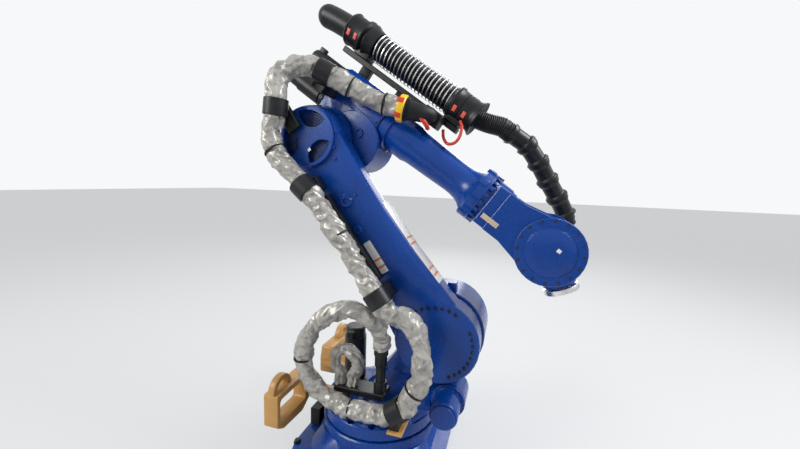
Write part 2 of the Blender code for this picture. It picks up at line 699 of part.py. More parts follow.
def head_brackets(head):
    """The black connector shelf and the ochre bracket under the loop clamp."""
    top = BASE_HEIGHT + SWIVEL_GAP + FLANGE_THICK + PLATFORM_THICK + FIT_GAP
    shelf = box((-0.15, -0.29, SHELF_TOP - 0.03), (0.115, -0.19, SHELF_TOP), FINE_EDGE)
    leg = box((-0.15 + SOFT_EDGE, -0.20, top), (-0.11, -0.16, SHELF_TOP - SOFT_EDGE), FINE_EDGE)
    place(combine(shelf, [leg]), "connector_shelf", black(), head)
    bracket = box((0.173, -0.41, 0.318 + FIT_GAP), (0.245, -0.21, 0.33), FINE_EDGE)
    place(bracket, "hose_bracket", ochre(), head)
    x, y, z = LOOP_CLAMP_AT
    foot = box((x - 0.028, y - 0.035, 0.33 + FIT_GAP), (x + 0.02, y + 0.035, z - 0.02), FINE_EDGE)
    clamp(LOOP_CLAMP_AT, LOOP_CLAMP_WAY, foot, "loop_clamp", head)


def head_sleeves(head, arm):
    """The service loop of sleeve at the head, its small inner loop and the connector it ends in."""
    end = carried(through(ARM_CLAMP_LOW, ARM_CLAMP_LOW_WAY, -1)[::-1], arm, head)
    up = through(LOOP_CLAMP_AT, LOOP_CLAMP_WAY, 1) + [(0.278, -0.36, 0.482), (0.326, -0.36, 0.56)]
    up += [(0.338, -0.36, 0.64), (0.330, -0.36, 0.72), (0.295, -0.36, 0.79), (0.240, -0.36, 0.832)]
    up += [(0.18, -0.36, 0.846)] + end
    sleeve(up, 32, "sleeve_loop_right", head)
    x, y, z = CONNECTOR_TOP
    round_left = through(LOOP_CLAMP_AT, LOOP_CLAMP_WAY, -1)
    round_left += [(0.115, -0.355, 0.363), (0.05, -0.35, 0.353), (-0.03, -0.345, 0.352), (-0.10, -0.345, 0.362)]
    round_left += [(-0.17, -0.345, 0.387), (-0.225, -0.345, 0.427), (-0.268, -0.345, 0.487), (-0.286, -0.345, 0.56)]
    round_left += [(-0.275, -0.345, 0.645), (-0.235, -0.345, 0.72), (-0.17, -0.345, 0.785), (-0.09, -0.34, 0.825)]
    round_left += [(-0.02, -0.33, 0.832), (0.040, -0.31, 0.80), (0.073, -0.275, 0.74)]
    round_left += straight((x, y, z + FIT_GAP), (0, 0, 1))[::-1]
    sleeve(round_left, 48, "sleeve_loop_left", head, LOOP_SLEEVE_RADIUS)
    foot = SHELF_TOP + FIT_GAP
    plug = turned([(foot, 0.032), (foot + 0.05, 0.032), (foot + 0.05, 0.024), (foot + 0.13, 0.024),
                   (foot + 0.13, 0.03), (z - 0.03, 0.03), (z - 0.03, 0.035), (z, 0.035)], at=(x, y, 0), steps=20)
    place(plug, "connector_bundle", black(), head)
    inner = straight((-0.13, y, foot), (0, 0, 1)) + [(-0.16, -0.255, 0.51), (-0.145, -0.26, 0.57)]
    inner += [(-0.09, -0.262, 0.60), (-0.035, -0.262, 0.57), (-0.035, -0.255, 0.51)]
    inner += straight((-0.06, y, foot), (0, 0, 1))[::-1]
    sleeve(inner, 24, "sleeve_inner_loop", head, INNER_SLEEVE_RADIUS)


def fork_pocket(head, side, name):
    """A fork pocket on the head: a slotted casting with a lifting arch, on an arm to the platform."""
    low, high = -0.46, -0.38
    seat = BASE_HEIGHT + SWIVEL_GAP + FLANGE_THICK + PLATFORM_THICK + FIT_GAP
    outline = [(-0.42, 0.21), (-0.37, 0.18), (-0.20, 0.17), (-0.125, 0.215), (-0.125, 0.30), (-0.145, 0.375),
               (-0.42, 0.375)]
    body = plate([(side * -y, z) for y, z in outline], low, high, "X", SOFT_EDGE)
    arch = arc((side * 0.345, 0.37), 0.075, 0, 180, 10) + arc((side * 0.345, 0.37), 0.047, 180, 0, 10)
    hoop = plate(arch, low + 0.02, high - 0.02, "X")
    arm = box((low + 0.01, min(side * 0.105, side * 0.15), seat), (-0.16, max(side * 0.105, side * 0.15), seat + 0.03),
              FINE_EDGE)
    combine(body, [hoop, arm])
    slot = box((low - OVERRUN, min(side * 0.17, side * 0.395), 0.225),
               (high + OVERRUN, max(side * 0.17, side * 0.395), 0.345), 0.02)
    hole = cylinder(0.014, low - OVERRUN, high + OVERRUN, "X", (0, side * 0.185, 0.197), steps=16)
    combine(body, [slot, hole], "DIFFERENCE")
    smooth(place(body, name, ochre(), head))


def elbow_casting(elbow):
    """The elbow: drum on the U axis, forward bulge, web and the housing of the R axis."""
    drum = cylinder(ELBOW_DRUM_RADIUS, -ELBOW_NEAR, ELBOW_FAR, "Y", edge=SOFT_EDGE, steps=32)
    bulge = cylinder(BULGE_RADIUS, -BULGE_NEAR, BULGE_NEAR, "Y", (BULGE_AT[0], 0, BULGE_AT[1]),
                     SOFT_EDGE, 32)
    back, front = -R_HOUSING_BACK, R_HOUSING_FRONT
    outline = [(back, -0.05), (back, 0.29), (back + 0.03, 0.315), (0.12, 0.315), (front - 0.01, 0.26),
               (front - 0.01, 0.05), (0.10, -0.02)]
    web = plate(outline, -WEB_HALF, WEB_HALF, "Y", SOFT_EDGE)
    housing = cylinder(R_HOUSING_RADIUS, back + SOFT_EDGE, front, "X", (0, 0, ELBOW_RISE), SOFT_EDGE, 32)
    hub = cylinder(HUB_SHARE * BOSS_RADIUS, -BOSS_FAR + FIT_GAP, -ELBOW_NEAR + OVERRUN, "Y")
    combine(drum, [bulge, web, housing, hub])
    room = cylinder(TUBE_ROOT_RADIUS + SWIVEL_GAP, front, front + ELBOW_RISE, "X", (0, 0, ELBOW_RISE), steps=32)
    combine(drum, [room], "DIFFERENCE")
    smooth(place(drum, "elbow_casting", blue(), elbow))


def elbow_motors(elbow):
    """The three wrist motors behind the elbow and the U motor on its far side."""
    places = {"wrist_motor_near": (-0.064, 0.165), "wrist_motor_top": (0.0, 0.305), "wrist_motor_far": (0.064, 0.165)}
    for name, (y, z) in places.items():
        made = motor(WRIST_MOTOR_LENGTH, WRIST_MOTOR_RADIUS, WRIST_MOTOR_RADIUS + SOFT_EDGE)
        made.location = (-R_HOUSING_BACK - FIT_GAP, y, z)
        made.rotation_euler = (0, -math.pi / 2, 0)
        smooth(place(made, name, black(), elbow))
    u_motor = motor(U_MOTOR_LENGTH, MOTOR_RADIUS, MOTOR_FLANGE_RADIUS)
    u_motor.location = (0, ELBOW_FAR + FIT_GAP, 0)
    u_motor.rotation_euler = (-math.pi / 2, 0, 0)
    smooth(place(u_motor, "u_axis_motor", black(), elbow))


def lifting_eye(elbow):
    """The small eye that lies flat on the elbow's near face."""
    bpy.ops.mesh.primitive_torus_add(major_segments=14, minor_segments=6, major_radius=EYE_RADIUS,
                                     minor_radius=EYE_WIRE)
    eye = bpy.context.object
    near = -BULGE_NEAR
    eye.data.transform(Matrix.Translation((EYE_AT[0], near - FIT_GAP - EYE_WIRE, EYE_AT[1])) @ Matrix.Rotation(math.pi / 2, 4, "X"))
    smooth(place(eye, "lifting_eye", blue(), elbow))


def elbow_sleeve(arm, roll):
    """The sleeve over the elbow, its clamp and bracket, and the yellow gland that it runs into."""
    x, y, z = ELBOW_CLAMP
    foot = box((x - 0.03, y, z - 0.085), (x + 0.04, -WEB_HALF - FIT_GAP, z - 0.03), FINE_EDGE)
    room = cylinder(R_HOUSING_RADIUS + FIT_GAP, -R_HOUSING_BACK - OVERRUN, R_HOUSING_FRONT, "X", steps=32)
    combine(foot, [room], "DIFFERENCE")
    clamp(ELBOW_CLAMP, ELBOW_CLAMP_WAY, foot, "elbow_clamp", roll)
    start = carried(through(ARM_CLAMP_TOP, ARM_CLAMP_TOP_WAY, 1), arm, roll)
    over = start + [(-0.218, -0.352, -0.13), (-0.232, -0.335, -0.08), (-0.215, -0.308, -0.025), (-0.18, -0.278, 0.012)]
    sleeve(over + through(ELBOW_CLAMP, ELBOW_CLAMP_WAY, -1)[::-1], 28, "sleeve_over_elbow", roll)
    run = through(ELBOW_CLAMP, ELBOW_CLAMP_WAY, 1) + [(-0.02, -0.215, 0.045), (0.06, -0.19, 0.054), (0.14, -0.17, 0.068)]
    back, front = gland_ends()
    way_back = [-part for part in GLAND_WAY]
    sleeve(run + straight(back, way_back)[::-1], 22, "sleeve_to_gland", roll)


def gland_ends():
    """The middles of the gland's back and front faces."""
    reach = GLAND_WIDTH / 2 + FIT_GAP
    return [toward(GLAND_AT, GLAND_WAY, -reach), toward(GLAND_AT, GLAND_WAY, reach)]


def gland(roll):
    """The yellow cable gland and the black collar that leads its cables to the junction box."""
    half = GLAND_WIDTH / 2
    ring = turned([(-half, GLAND_RADIUS - SOFT_EDGE), (-half + SOFT_EDGE, GLAND_RADIUS), (half - SOFT_EDGE, GLAND_RADIUS),
                   (half, GLAND_RADIUS - SOFT_EDGE)], steps=28)
    ring.data.transform(Matrix.Translation(GLAND_AT) @ Vector(GLAND_WAY).to_track_quat("Z", "Y").to_matrix().to_4x4())
    smooth(place(ring, "cable_gland", yellow(), roll))
    low, high = JUNCTION_BOX
    front = gland_ends()[1]
    lead = [front, toward(front, GLAND_WAY, 0.7 * OVERRUN), toward(front, GLAND_WAY, OVERRUN)]
    lead += [(0.352, -0.130, 0.147), (0.376, -0.107, 0.160)]
    lead += [(0.38, low[1] - share * OVERRUN - FIT_GAP, 0.162) for share in (1, 0.7, 0)]
    place(tube(smooth_path(lead, 16), COLLAR_RADIUS), "gland_collar", black(), roll)
    place(box(low, high, FINE_EDGE), "junction_box", black(), roll)


def pack_rail(roll):
    """The black rail along the dress pack, on two feet that fit the R axis housing."""
    width, depth = PACK_RAIL_SIZE
    rail = box((PACK_RAIL_BACK, PACK_Y - width / 2, PACK_RAIL_Z), (PACK_RAIL_FRONT, PACK_Y + width / 2, PACK_RAIL_Z + depth),
               FINE_EDGE)
    feet = [box((x - 0.03, PACK_Y - 0.02, 0), (x + 0.03, PACK_Y + 0.02, PACK_RAIL_Z + FINE_EDGE), FINE_EDGE)
            for x in (-R_HOUSING_BACK + 0.04, R_HOUSING_FRONT - 0.05)]
    combine(rail, feet)
    room = cylinder(R_HOUSING_RADIUS + FIT_GAP, -R_HOUSING_BACK - OVERRUN, R_HOUSING_FRONT + OVERRUN, "X", steps=32)
    combine(rail, [room], "DIFFERENCE")
    place(rail, "pack_rail", black(), roll)


def pack_clamp(roll, back, lip, name):
    """A round clamp housing of the dress pack, with its foot on the rail and a flared lip."""
    front = back + PACK_CLAMP_LENGTH
    ring = turned([(back, PACK_CLAMP_RADIUS * 0.86), (back + 0.012, PACK_CLAMP_RADIUS), (back + 0.045, PACK_CLAMP_RADIUS),
                   (back + 0.05, PACK_CLAMP_RADIUS * 0.93), (front - lip, PACK_CLAMP_RADIUS * 0.93),
                   (front - lip / 3, PACK_CLAMP_RADIUS * 1.06), (front, PACK_CLAMP_RADIUS * 1.06)],
                  "X", (0, PACK_Y, PACK_Z), 28)
    top = PACK_RAIL_Z + PACK_RAIL_SIZE[1] + FIT_GAP
    foot = box((back + 0.02, PACK_Y - 0.03, top), (front - 0.02, PACK_Y + 0.03, PACK_Z - PACK_CLAMP_RADIUS / 2), FINE_EDGE)
    combine(ring, [foot])
    smooth(place(ring, name, black(), roll))


def coil(radius, pitch, turns, start):
    """Points of a helix about the pack's line, from start along +X."""
    count = turns * SPRING_STEPS
    points = []
    for k in range(count + 1):
        angle = 2 * math.pi * k / SPRING_STEPS
        points.append((start + pitch * k / SPRING_STEPS, PACK_Y + radius * math.cos(angle), PACK_Z + radius * math.sin(angle)))
    return points


def dress_pack(roll):
    """The hose pack: rear tube, two clamps, the return spring round its hose and the jointed conduit."""
    pack_clamp(roll, PACK_CLAMP_BACK, 0.03, "pack_clamp_rear")
    pack_clamp(roll, SPRING_FRONT, 0.03, "pack_clamp_front")
    rear_end = PACK_CLAMP_BACK - FIT_GAP
    r = PACK_TUBE_RADIUS
    cap = [(PACK_TUBE_BACK + r * (1 - math.cos(math.radians(a))), r * math.sin(math.radians(a))) for a in (0, 25, 50, 75, 90)]
    smooth(place(turned(cap + [(rear_end, r)], "X", (0, PACK_Y, PACK_Z), 24), "pack_rear_tube", black(), roll))
    hose_start = PACK_CLAMP_BACK + PACK_CLAMP_LENGTH + FIT_GAP
    hose = cylinder(PACK_HOSE_RADIUS, hose_start, SPRING_FRONT - FIT_GAP, "X", (0, PACK_Y, PACK_Z), steps=20)
    smooth(place(hose, "pack_hose", black(), roll))
    low = hose_start + SPRING_WIRE
    pitch = (SPRING_FRONT - FIT_GAP - SPRING_WIRE - low) / SPRING_TURNS
    place(tube(coil(SPRING_RADIUS, pitch, SPRING_TURNS, low), SPRING_WIRE, 0), "pack_spring", steel(), roll)
    front = SPRING_FRONT + PACK_CLAMP_LENGTH + FIT_GAP
    lead = straight((front, PACK_Y, PACK_Z), (1, 0, 0)) + [(front + 0.10, 0.067, 0.298)]
    back = [-part for part in CONDUIT_WAY]
    lead += straight(CONDUIT_ROUTE[0], back)[::-1]
    place(tube(smooth_path(lead, 12), PACK_HOSE_RADIUS * 0.85), "pack_front_hose", black(), roll)
    conduit(roll)


def conduit(roll):
    """The ball-jointed conduit that leads down past the wrist to its end fitting."""
    count = CONDUIT_BALLS * BALL_STEPS
    begin = CONDUIT_ROUTE[0]
    route = straight(toward(begin, CONDUIT_WAY, FIT_GAP), CONDUIT_WAY) + CONDUIT_ROUTE[1:]
    path = smooth_path(route, count + 1)
    radii = [CONDUIT_RADIUS + (BALL_RADIUS - CONDUIT_RADIUS) * abs(math.sin(math.pi * k / BALL_STEPS)) ** 0.6 for k in range(count + 1)]
    smooth(place(swept(path, radii, 12), "pack_conduit", black(), roll))
    end = path[-1]
    way = (path[-1] - path[-2]).normalized()
    turn = way.to_track_quat("Z", "Y").to_matrix().to_4x4()
    fitting = turned([(FIT_GAP, 0.042), (0.03, 0.042), (0.03, 0.036), (0.06, 0.036)], steps=20)
    fitting.data.transform(Matrix.Translation(end) @ turn)
    place(fitting, "pack_end_fitting", black(), roll)


def swept(path, radii, steps):
    """A closed round body along a path, with a radius of its own at each point."""
    bm = bmesh.new()
    rings = []
    for k, (point, radius) in enumerate(zip(path, radii)):
        way = (path[min(k + 1, len(path) - 1)] - path[max(k - 1, 0)]).normalized()
        side = way.cross(Vector((0, 1, 0))).normalized()
        up = side.cross(way)
        turn = [2 * math.pi * j / steps for j in range(steps)]
        rings.append([bm.verts.new(point + radius * (side * math.cos(a) + up * math.sin(a))) for a in turn])
    for low, high in zip(rings, rings[1:]):
        bridge(bm, low, high)
    bm.faces.new(rings[0])
    bm.faces.new(rings[-1])
    return from_bmesh(bm, "swept")


def forearm(roll):
    """The tapering forearm tube with its root ring, swell and wrist flange."""
    start = R_HOUSING_FRONT + SWIVEL_GAP
    profile = [(R_HOUSING_FRONT + FIT_GAP, HUB_SHARE * R_HOUSING_RADIUS), (start, HUB_SHARE * R_HOUSING_RADIUS),
               (start, TUBE_ROOT_RADIUS), (start + TUBE_ROOT, TUBE_ROOT_RADIUS), (start + TUBE_ROOT, TUBE_BACK_RADIUS),
               (TUBE_SWELL_END, TUBE_BACK_RADIUS), (TUBE_SWELL_END + 0.02, TUBE_MID_RADIUS),
               (TUBE_TAPER_END, TUBE_FRONT_RADIUS), (TUBE_TAPER_END + 0.05, 1.12 * TUBE_FRONT_RADIUS),
               (TUBE_END - 0.02, TUBE_FLANGE_RADIUS), (TUBE_END, TUBE_FLANGE_RADIUS)]
    smooth(place(turned(profile, "X", steps=32), "forearm_tube", blue(), roll))


def wrist_fork(roll):
    """The wrist fork: a flanged block whose two cheeks carry the B axis, open between them."""
    start = TUBE_END + FIT_GAP
    flange = cylinder(TUBE_FLANGE_RADIUS, start, start + FORK_FLANGE, "X", edge=FINE_EDGE, steps=32)
    round_end = arc((FOREARM_REACH, 0), FORK_END_RADIUS, -80, 80, 14)
    outline = [(start + FORK_FLANGE / 2, -FORK_HALF_HEIGHT + 0.01), (start + 0.10, -FORK_HALF_HEIGHT)] + round_end
    outline += [(start + 0.10, FORK_HALF_HEIGHT), (start + FORK_FLANGE / 2, FORK_HALF_HEIGHT - 0.01)]
    block = plate(outline, -FORK_HALF_WIDTH, FORK_HALF_WIDTH, "Y", SOFT_EDGE)
    combine(flange, [block])
    throat = cylinder(FORK_SLOT_DEPTH, -FORK_SLOT_HALF, FORK_SLOT_HALF, "Y", (FOREARM_REACH, 0, 0), steps=32)
    combine(flange, [throat], "DIFFERENCE")
    smooth(place(flange, "wrist_fork", blue(), roll))


def wrist_covers(roll):
    """The stepped and domed covers outside the fork's cheeks."""
    for side, name in ((-1, "wrist_cover_near"), (1, "wrist_cover_far")):
        low = FORK_HALF_WIDTH + FIT_GAP
        step = low + COVER_RIM
        dome = step + COVER_STEP
        profile = [(low, COVER_RADIUS), (step - FINE_EDGE, COVER_RADIUS), (step, COVER_RADIUS - FINE_EDGE),
                   (step, COVER_STEP_RADIUS), (dome, COVER_STEP_RADIUS - FINE_EDGE),
                   (dome + COVER_DOME, 0.55 * COVER_STEP_RADIUS), (dome + 1.2 * COVER_DOME, 0.25 * COVER_STEP_RADIUS)]
        cover = turned([(side * y, r) for y, r in profile], "Y", (FOREARM_REACH, 0, 0), 32)
        smooth(place(cover, name, blue(), roll))


def wrist_unit(bend, spin):
    """The bending wrist unit between the cheeks, and the tool flange at its nose."""
    hub = HUB_SHARE * WRIST_RADIUS
    drum = turned([(-FORK_SLOT_HALF + FIT_GAP, hub), (-WRIST_HALF_WIDTH, hub), (-WRIST_HALF_WIDTH, WRIST_RADIUS - SOFT_EDGE),
                   (-WRIST_HALF_WIDTH + SOFT_EDGE, WRIST_RADIUS), (WRIST_HALF_WIDTH - SOFT_EDGE, WRIST_RADIUS),
                   (WRIST_HALF_WIDTH, WRIST_RADIUS - SOFT_EDGE), (WRIST_HALF_WIDTH, hub), (FORK_SLOT_HALF - FIT_GAP, hub)],
                  "Y", steps=36)
    face = WRIST_REACH - TOOL_FLANGE - SWIVEL_GAP
    nose = cylinder(T_HOUSING_RADIUS, 0, face, "X", edge=SOFT_EDGE, steps=32)
    combine(drum, [nose])
    smooth(place(drum, "wrist_unit", blue(), bend))
    hub = HUB_SHARE * TOOL_FLANGE_RADIUS
    back = WRIST_REACH - TOOL_FLANGE
    flange = turned([(face + FIT_GAP, hub), (back, hub), (back, TOOL_FLANGE_RADIUS), (WRIST_REACH - FINE_EDGE, TOOL_FLANGE_RADIUS),
                     (WRIST_REACH, TOOL_FLANGE_RADIUS - FINE_EDGE)], "X", steps=32)
    smooth(place(flange, "tool_flange", steel(), spin))


def build():
    """Model the whole robot."""
    for obj in list(bpy.data.objects):
        bpy.data.objects.remove(obj)
    root = frame("robot_root", None)
    head = frame("s_axis", root)
    arm = frame("l_axis", head, (S_TO_L, 0, L_HEIGHT), -math.radians(ARM_LEAN_DEG))
    elbow = frame("u_axis", arm, (0, 0, ARM_LENGTH), math.radians(ARM_LEAN_DEG + FOREARM_DIP_DEG))
    roll = frame("r_axis", elbow, (0, 0, ELBOW_RISE))
    base_parts(root)
    head_parts(head)
    head_drive(head)
    head_motors(head)
    head_brackets(head)
    head_sleeves(head, arm)
    fork_pocket(head, -1, "fork_pocket_near")
    fork_pocket(head, 1, "fork_pocket_far")
    lower_arm_casting(arm)
    boss_cover(arm)
    arm_rail(arm)
    arm_clamps(arm)
    arm_sleeve(arm)
    elbow_casting(elbow)
    elbow_motors(elbow)
    lifting_eye(elbow)
    elbow_sleeve(arm, roll)
    gland(roll)
    pack_rail(roll)
    dress_pack(roll)
    turning = frame("forearm_roll", roll)
    forearm(turning)
    wrist_fork(turning)
    wrist_covers(turning)
    bend = frame("b_axis", turning, (FOREARM_REACH, 0, 0), math.radians(WRIST_DIP_DEG))
    spin = frame("t_axis", bend)
    wrist_unit(bend, spin)


build()
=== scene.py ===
"""Finishes and fine detail of a six-axis robot arm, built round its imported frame."""

import json
import logging
import math
from dataclasses import dataclass
from enum import Enum
from typing import Callable, Optional, Sequence

import bmesh
import bpy
from mathutils import Matrix, Vector, noise

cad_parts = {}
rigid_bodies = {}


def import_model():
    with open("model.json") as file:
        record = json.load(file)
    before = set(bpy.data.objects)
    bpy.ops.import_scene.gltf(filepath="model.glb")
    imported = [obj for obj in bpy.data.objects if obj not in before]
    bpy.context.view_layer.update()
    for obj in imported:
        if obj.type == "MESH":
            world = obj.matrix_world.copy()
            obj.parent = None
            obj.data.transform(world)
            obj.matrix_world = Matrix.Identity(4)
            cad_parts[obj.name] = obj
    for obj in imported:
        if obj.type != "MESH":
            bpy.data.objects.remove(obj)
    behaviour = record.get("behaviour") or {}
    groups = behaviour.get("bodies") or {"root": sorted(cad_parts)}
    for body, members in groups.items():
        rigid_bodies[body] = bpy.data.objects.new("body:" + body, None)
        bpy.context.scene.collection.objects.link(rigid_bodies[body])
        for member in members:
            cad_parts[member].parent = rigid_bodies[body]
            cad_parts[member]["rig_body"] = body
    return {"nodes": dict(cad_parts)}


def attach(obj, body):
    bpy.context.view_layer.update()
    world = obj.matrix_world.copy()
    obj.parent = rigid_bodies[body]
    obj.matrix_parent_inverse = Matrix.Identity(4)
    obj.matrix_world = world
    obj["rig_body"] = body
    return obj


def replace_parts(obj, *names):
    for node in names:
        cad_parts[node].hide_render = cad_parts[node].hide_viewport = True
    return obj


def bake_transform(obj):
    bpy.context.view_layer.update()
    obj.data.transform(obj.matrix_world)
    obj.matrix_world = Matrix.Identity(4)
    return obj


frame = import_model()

log = logging.getLogger("robot_arm")
Point = tuple[float, float, float]
Profile = Sequence[tuple[float, float]]
Mesh = bmesh.types.BMesh
Socket = bpy.types.NodeSocket
Piece = bpy.types.Object

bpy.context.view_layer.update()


# Driving dimensions that the pieces share, in metres and degrees

SHOULDER: Point = (0.335, 0, 0.68)
SHOULDER_FACE_Y = -0.20
ARM_LENGTH = 1.145
ELBOW_RISE = 0.25
FOREARM_REACH = 1.19
ARM_LEAN = -34.4
ELBOW_BEND = 69.5
ARM_FACE_Y = -0.193
ARM_FACE_SLOPE = 0.0686
ARM_FACE_WAY: Point = (0, -1, -ARM_FACE_SLOPE)
ARM_FLARE_TOP = 0.96
BOSS_FACE_Y = -0.2803
GLAND_AT: Point = (0.268, -0.150, 0.113)
GLAND_WAY: Point = (0.128, 0.018, 0.047)
NEAR: Point = (0, -1, 0)


def spin(degrees: float, axis: str) -> Matrix:
    """A turn about an axis, named by its letter."""
    return Matrix.Rotation(math.radians(degrees), 4, axis)


def outward(degrees: float) -> Vector:
    """The direction away from the roll axis at an angle round it."""
    angle = math.radians(degrees)
    return Vector((0, math.cos(angle), math.sin(angle)))


def arm_face_y(z: float) -> float:
    """Where the lower arm's flaring near face lies at a height."""
    return ARM_FACE_Y - ARM_FACE_SLOPE * z


class Place:
    """The rest frames of the robot's links, in the row frame."""

    WORLD = Matrix.Identity(4)
    ARM = Matrix.Translation(SHOULDER) @ spin(ARM_LEAN, "Y")
    ELBOW = ARM @ Matrix.Translation((0, 0, ARM_LENGTH)) @ spin(ELBOW_BEND, "Y")
    ROLL = ELBOW @ Matrix.Translation((0, 0, ELBOW_RISE))


# Shader groups


class Group:
    """A shader node group with named inputs that gives a colour, a roughness and a height."""

    OUTPUTS = {"Color": "Color", "Roughness": "Float", "Height": "Float"}

    def __init__(self, name: str, inputs: dict[str, object]) -> None:
        """Start the group.

        Args:
            name: The group's name.
            inputs: Each input's default, a number or a colour.
        """
        self.tree = bpy.data.node_groups.new(name, "ShaderNodeTree")
        for label, value in inputs.items():
            kind = "NodeSocketFloat" if isinstance(value, (int, float)) else "NodeSocketColor"
            socket = self.tree.interface.new_socket(label, in_out="INPUT", socket_type=kind)
            socket.default_value = value if kind == "NodeSocketFloat" else (*value, 1.0)
        for label, kind in self.OUTPUTS.items():
            self.tree.interface.new_socket(label, in_out="OUTPUT", socket_type=f"NodeSocket{kind}")
        self.inner = self.tree.nodes.new("NodeGroupInput")
        self.outer = self.tree.nodes.new("NodeGroupOutput")

    def node(self, kind: str, links: dict[str, object] | None = None, **values: object) -> bpy.types.Node:
        """Add a node.

        Args:
            kind: The node's type, without its ShaderNode prefix.
            links: Sockets or constants for its inputs, by name or by number.
            values: Properties of the node.

        Returns:
            The new node.
        """
        made = self.tree.nodes.new(f"ShaderNode{kind}")
        for key, value in values.items():
            setattr(made, key, value)
        for key, value in (links or {}).items():
            target = made.inputs[int(key)] if key.isdigit() else made.inputs[key]
            if isinstance(value, Socket):
                self.tree.links.new(value, target)
            else:
                target.default_value = value
        return made

    def given(self, label: str) -> Socket:
        """The socket of one of the group's inputs."""
        return self.inner.outputs[label]

    def end(self, *sockets: Socket) -> bpy.types.NodeTree:
        """Join the colour, the roughness and the height to the outputs and return the tree."""
        for label, socket in zip(self.OUTPUTS, sockets):
            self.tree.links.new(socket, self.outer.inputs[label])
        return self.tree

    def noise(self, scale: object, detail: float, rough: float = 0.55) -> Socket:
        """Noise over the piece's own coordinates.

        Args:
            scale: Its scale, a number or a socket.
            detail: Its octaves.
            rough: How strong the fine octaves are.

        Returns:
            The noise value.
        """
        where = self.node("TexCoord").outputs["Object"]
        made = self.node("TexNoise", {"Vector": where, "Scale": scale, "Detail": detail, "Roughness": rough})
        return made.outputs[0]

    def math(self, operation: str, a: object, b: object = 0.0) -> Socket:
        """One arithmetic step.

        Args:
            operation: Blender's name for it.
            a: The first value or socket.
            b: The second value or socket.

        Returns:
            The result.
        """
        return self.node("Math", {"0": a, "1": b}, operation=operation).outputs[0]

    def spread(self, value: object, low: float, high: float, to_low: float, to_high: float) -> Socket:
        """Map a range onto another and clamp it.

        Args:
            value: The value or socket.
            low: The range's start.
            high: The range's end.
            to_low: What the start becomes.
            to_high: What the end becomes.

        Returns:
            The mapped value.
        """
        links = {"Value": value, "From Min": low, "From Max": high, "To Min": to_low, "To Max": to_high}
        return self.node("MapRange", links).outputs[0]

    def mix(self, share: object, a: object, b: object) -> Socket:
        """Mix two colours.

        Args:
            share: How much of the second.
            a: The first colour or socket.
            b: The second colour or socket.

        Returns:
            The mixed colour.
        """
        made = self.node("Mix", {"Factor": share}, data_type="RGBA")
        for slot, value in ((6, a), (7, b)):
            if isinstance(value, Socket):
                self.tree.links.new(value, made.inputs[slot])
            else:
                made.inputs[slot].default_value = (*value, 1.0)
        return made.outputs[2]


def enamel_group() -> bpy.types.NodeTree:
    """Brushed and sprayed enamel over a cast skin: cloudy tint, dust and orange peel."""
    g = Group("enamel_skin", {"Base": (0.5, 0.5, 0.5), "Dust": (0.4, 0.4, 0.42), "Dust Amount": 0.1,
                              "Cast Scale": 60.0, "Gloss": 0.3})
    cloud = g.noise(3.0, 3.0)
    fine = g.noise(g.given("Cast Scale"), 4.0, 0.6)
    peel = g.noise(420.0, 1.0)
    shade = g.spread(cloud, 0.3, 0.7, 0.0, 1.0)
    deep = g.mix(0.28, g.given("Base"), (0.0, 0.0, 0.0))
    tint = g.mix(shade, deep, g.given("Base"))
    speck = g.spread(fine, 0.52, 0.75, 0.0, 1.0)
    dusty = g.math("MULTIPLY", g.math("MULTIPLY", speck, g.given("Dust Amount")), shade)
    return g.end(g.mix(dusty, tint, g.given("Dust")),
                 g.math("ADD", g.given("Gloss"), g.math("MULTIPLY", speck, 0.16)),
                 g.math("ADD", g.math("MULTIPLY", fine, 0.7), g.math("MULTIPLY", peel, 0.12)))


def cloth_group() -> bpy.types.NodeTree:
    """Aluminium-faced cloth: a fine weave, rougher creases darkened with painted shade, and brighter rubbed
    patches.
    """
    g = Group("foil_cloth", {"Base": (0.5, 0.48, 0.44), "Shadow": (0.16, 0.15, 0.14),
                             "Rubbed": (0.6, 0.58, 0.54), "Weave": 900.0})
    crease = g.noise(34.0, 6.0, 0.62)
    patch = g.noise(9.0, 2.0)
    where = g.node("TexCoord").outputs["Object"]
    links = {"Vector": where, "Scale": g.given("Weave"), "Distortion": 0.4}
    weave = g.node("TexWave", links, wave_type="BANDS", bands_direction="DIAGONAL").outputs[1]
    # Painted shade: the creases are darkened towards the Shadow colour.
    dark = g.spread(crease, 0.38, 0.52, 0.55, 0.0)
    rubbed = g.mix(g.spread(patch, 0.35, 0.7, 0.0, 0.5), g.given("Base"), g.given("Rubbed"))
    return g.end(g.mix(dark, rubbed, g.given("Shadow")),
                 g.spread(crease, 0.3, 0.7, 0.5, 0.28),
                 g.math("ADD", crease, g.math("MULTIPLY", weave, 0.05)))


def moulded_group() -> bpy.types.NodeTree:
    """Moulded plastic or rubber: a fine grain with dusty rubbed areas."""
    g = Group("moulded_grain", {"Base": (0.02, 0.02, 0.02), "Dust": (0.2, 0.2, 0.2), "Dust Amount": 0.1,
                                "Grain": 380.0, "Gloss": 0.45})
    grain = g.noise(g.given("Grain"), 2.0)
    film = g.noise(14.0, 5.0, 0.6)
    amount = g.math("MULTIPLY", g.spread(film, 0.45, 0.7, 0.0, 1.0), g.given("Dust Amount"))
    return g.end(g.mix(amount, g.given("Base"), g.given("Dust")),
                 g.math("ADD", g.given("Gloss"), g.math("MULTIPLY", film, 0.15)),
                 grain)


def metal_group() -> bpy.types.NodeTree:
    """Drawn or turned metal: fine streaks and light tarnish."""
    g = Group("drawn_metal", {"Base": (0.7, 0.7, 0.7), "Tarnish": (0.25, 0.23, 0.2), "Streak": 160.0,
                              "Gloss": 0.2})
    streak = g.noise(g.given("Streak"), 3.0)
    stain = g.spread(g.noise(12.0, 4.0), 0.45, 0.75, 0.0, 0.45)
    return g.end(g.mix(stain, g.given("Base"), g.given("Tarnish")),
                 g.math("ADD", g.given("Gloss"), g.math("MULTIPLY", streak, 0.18)),
                 streak)


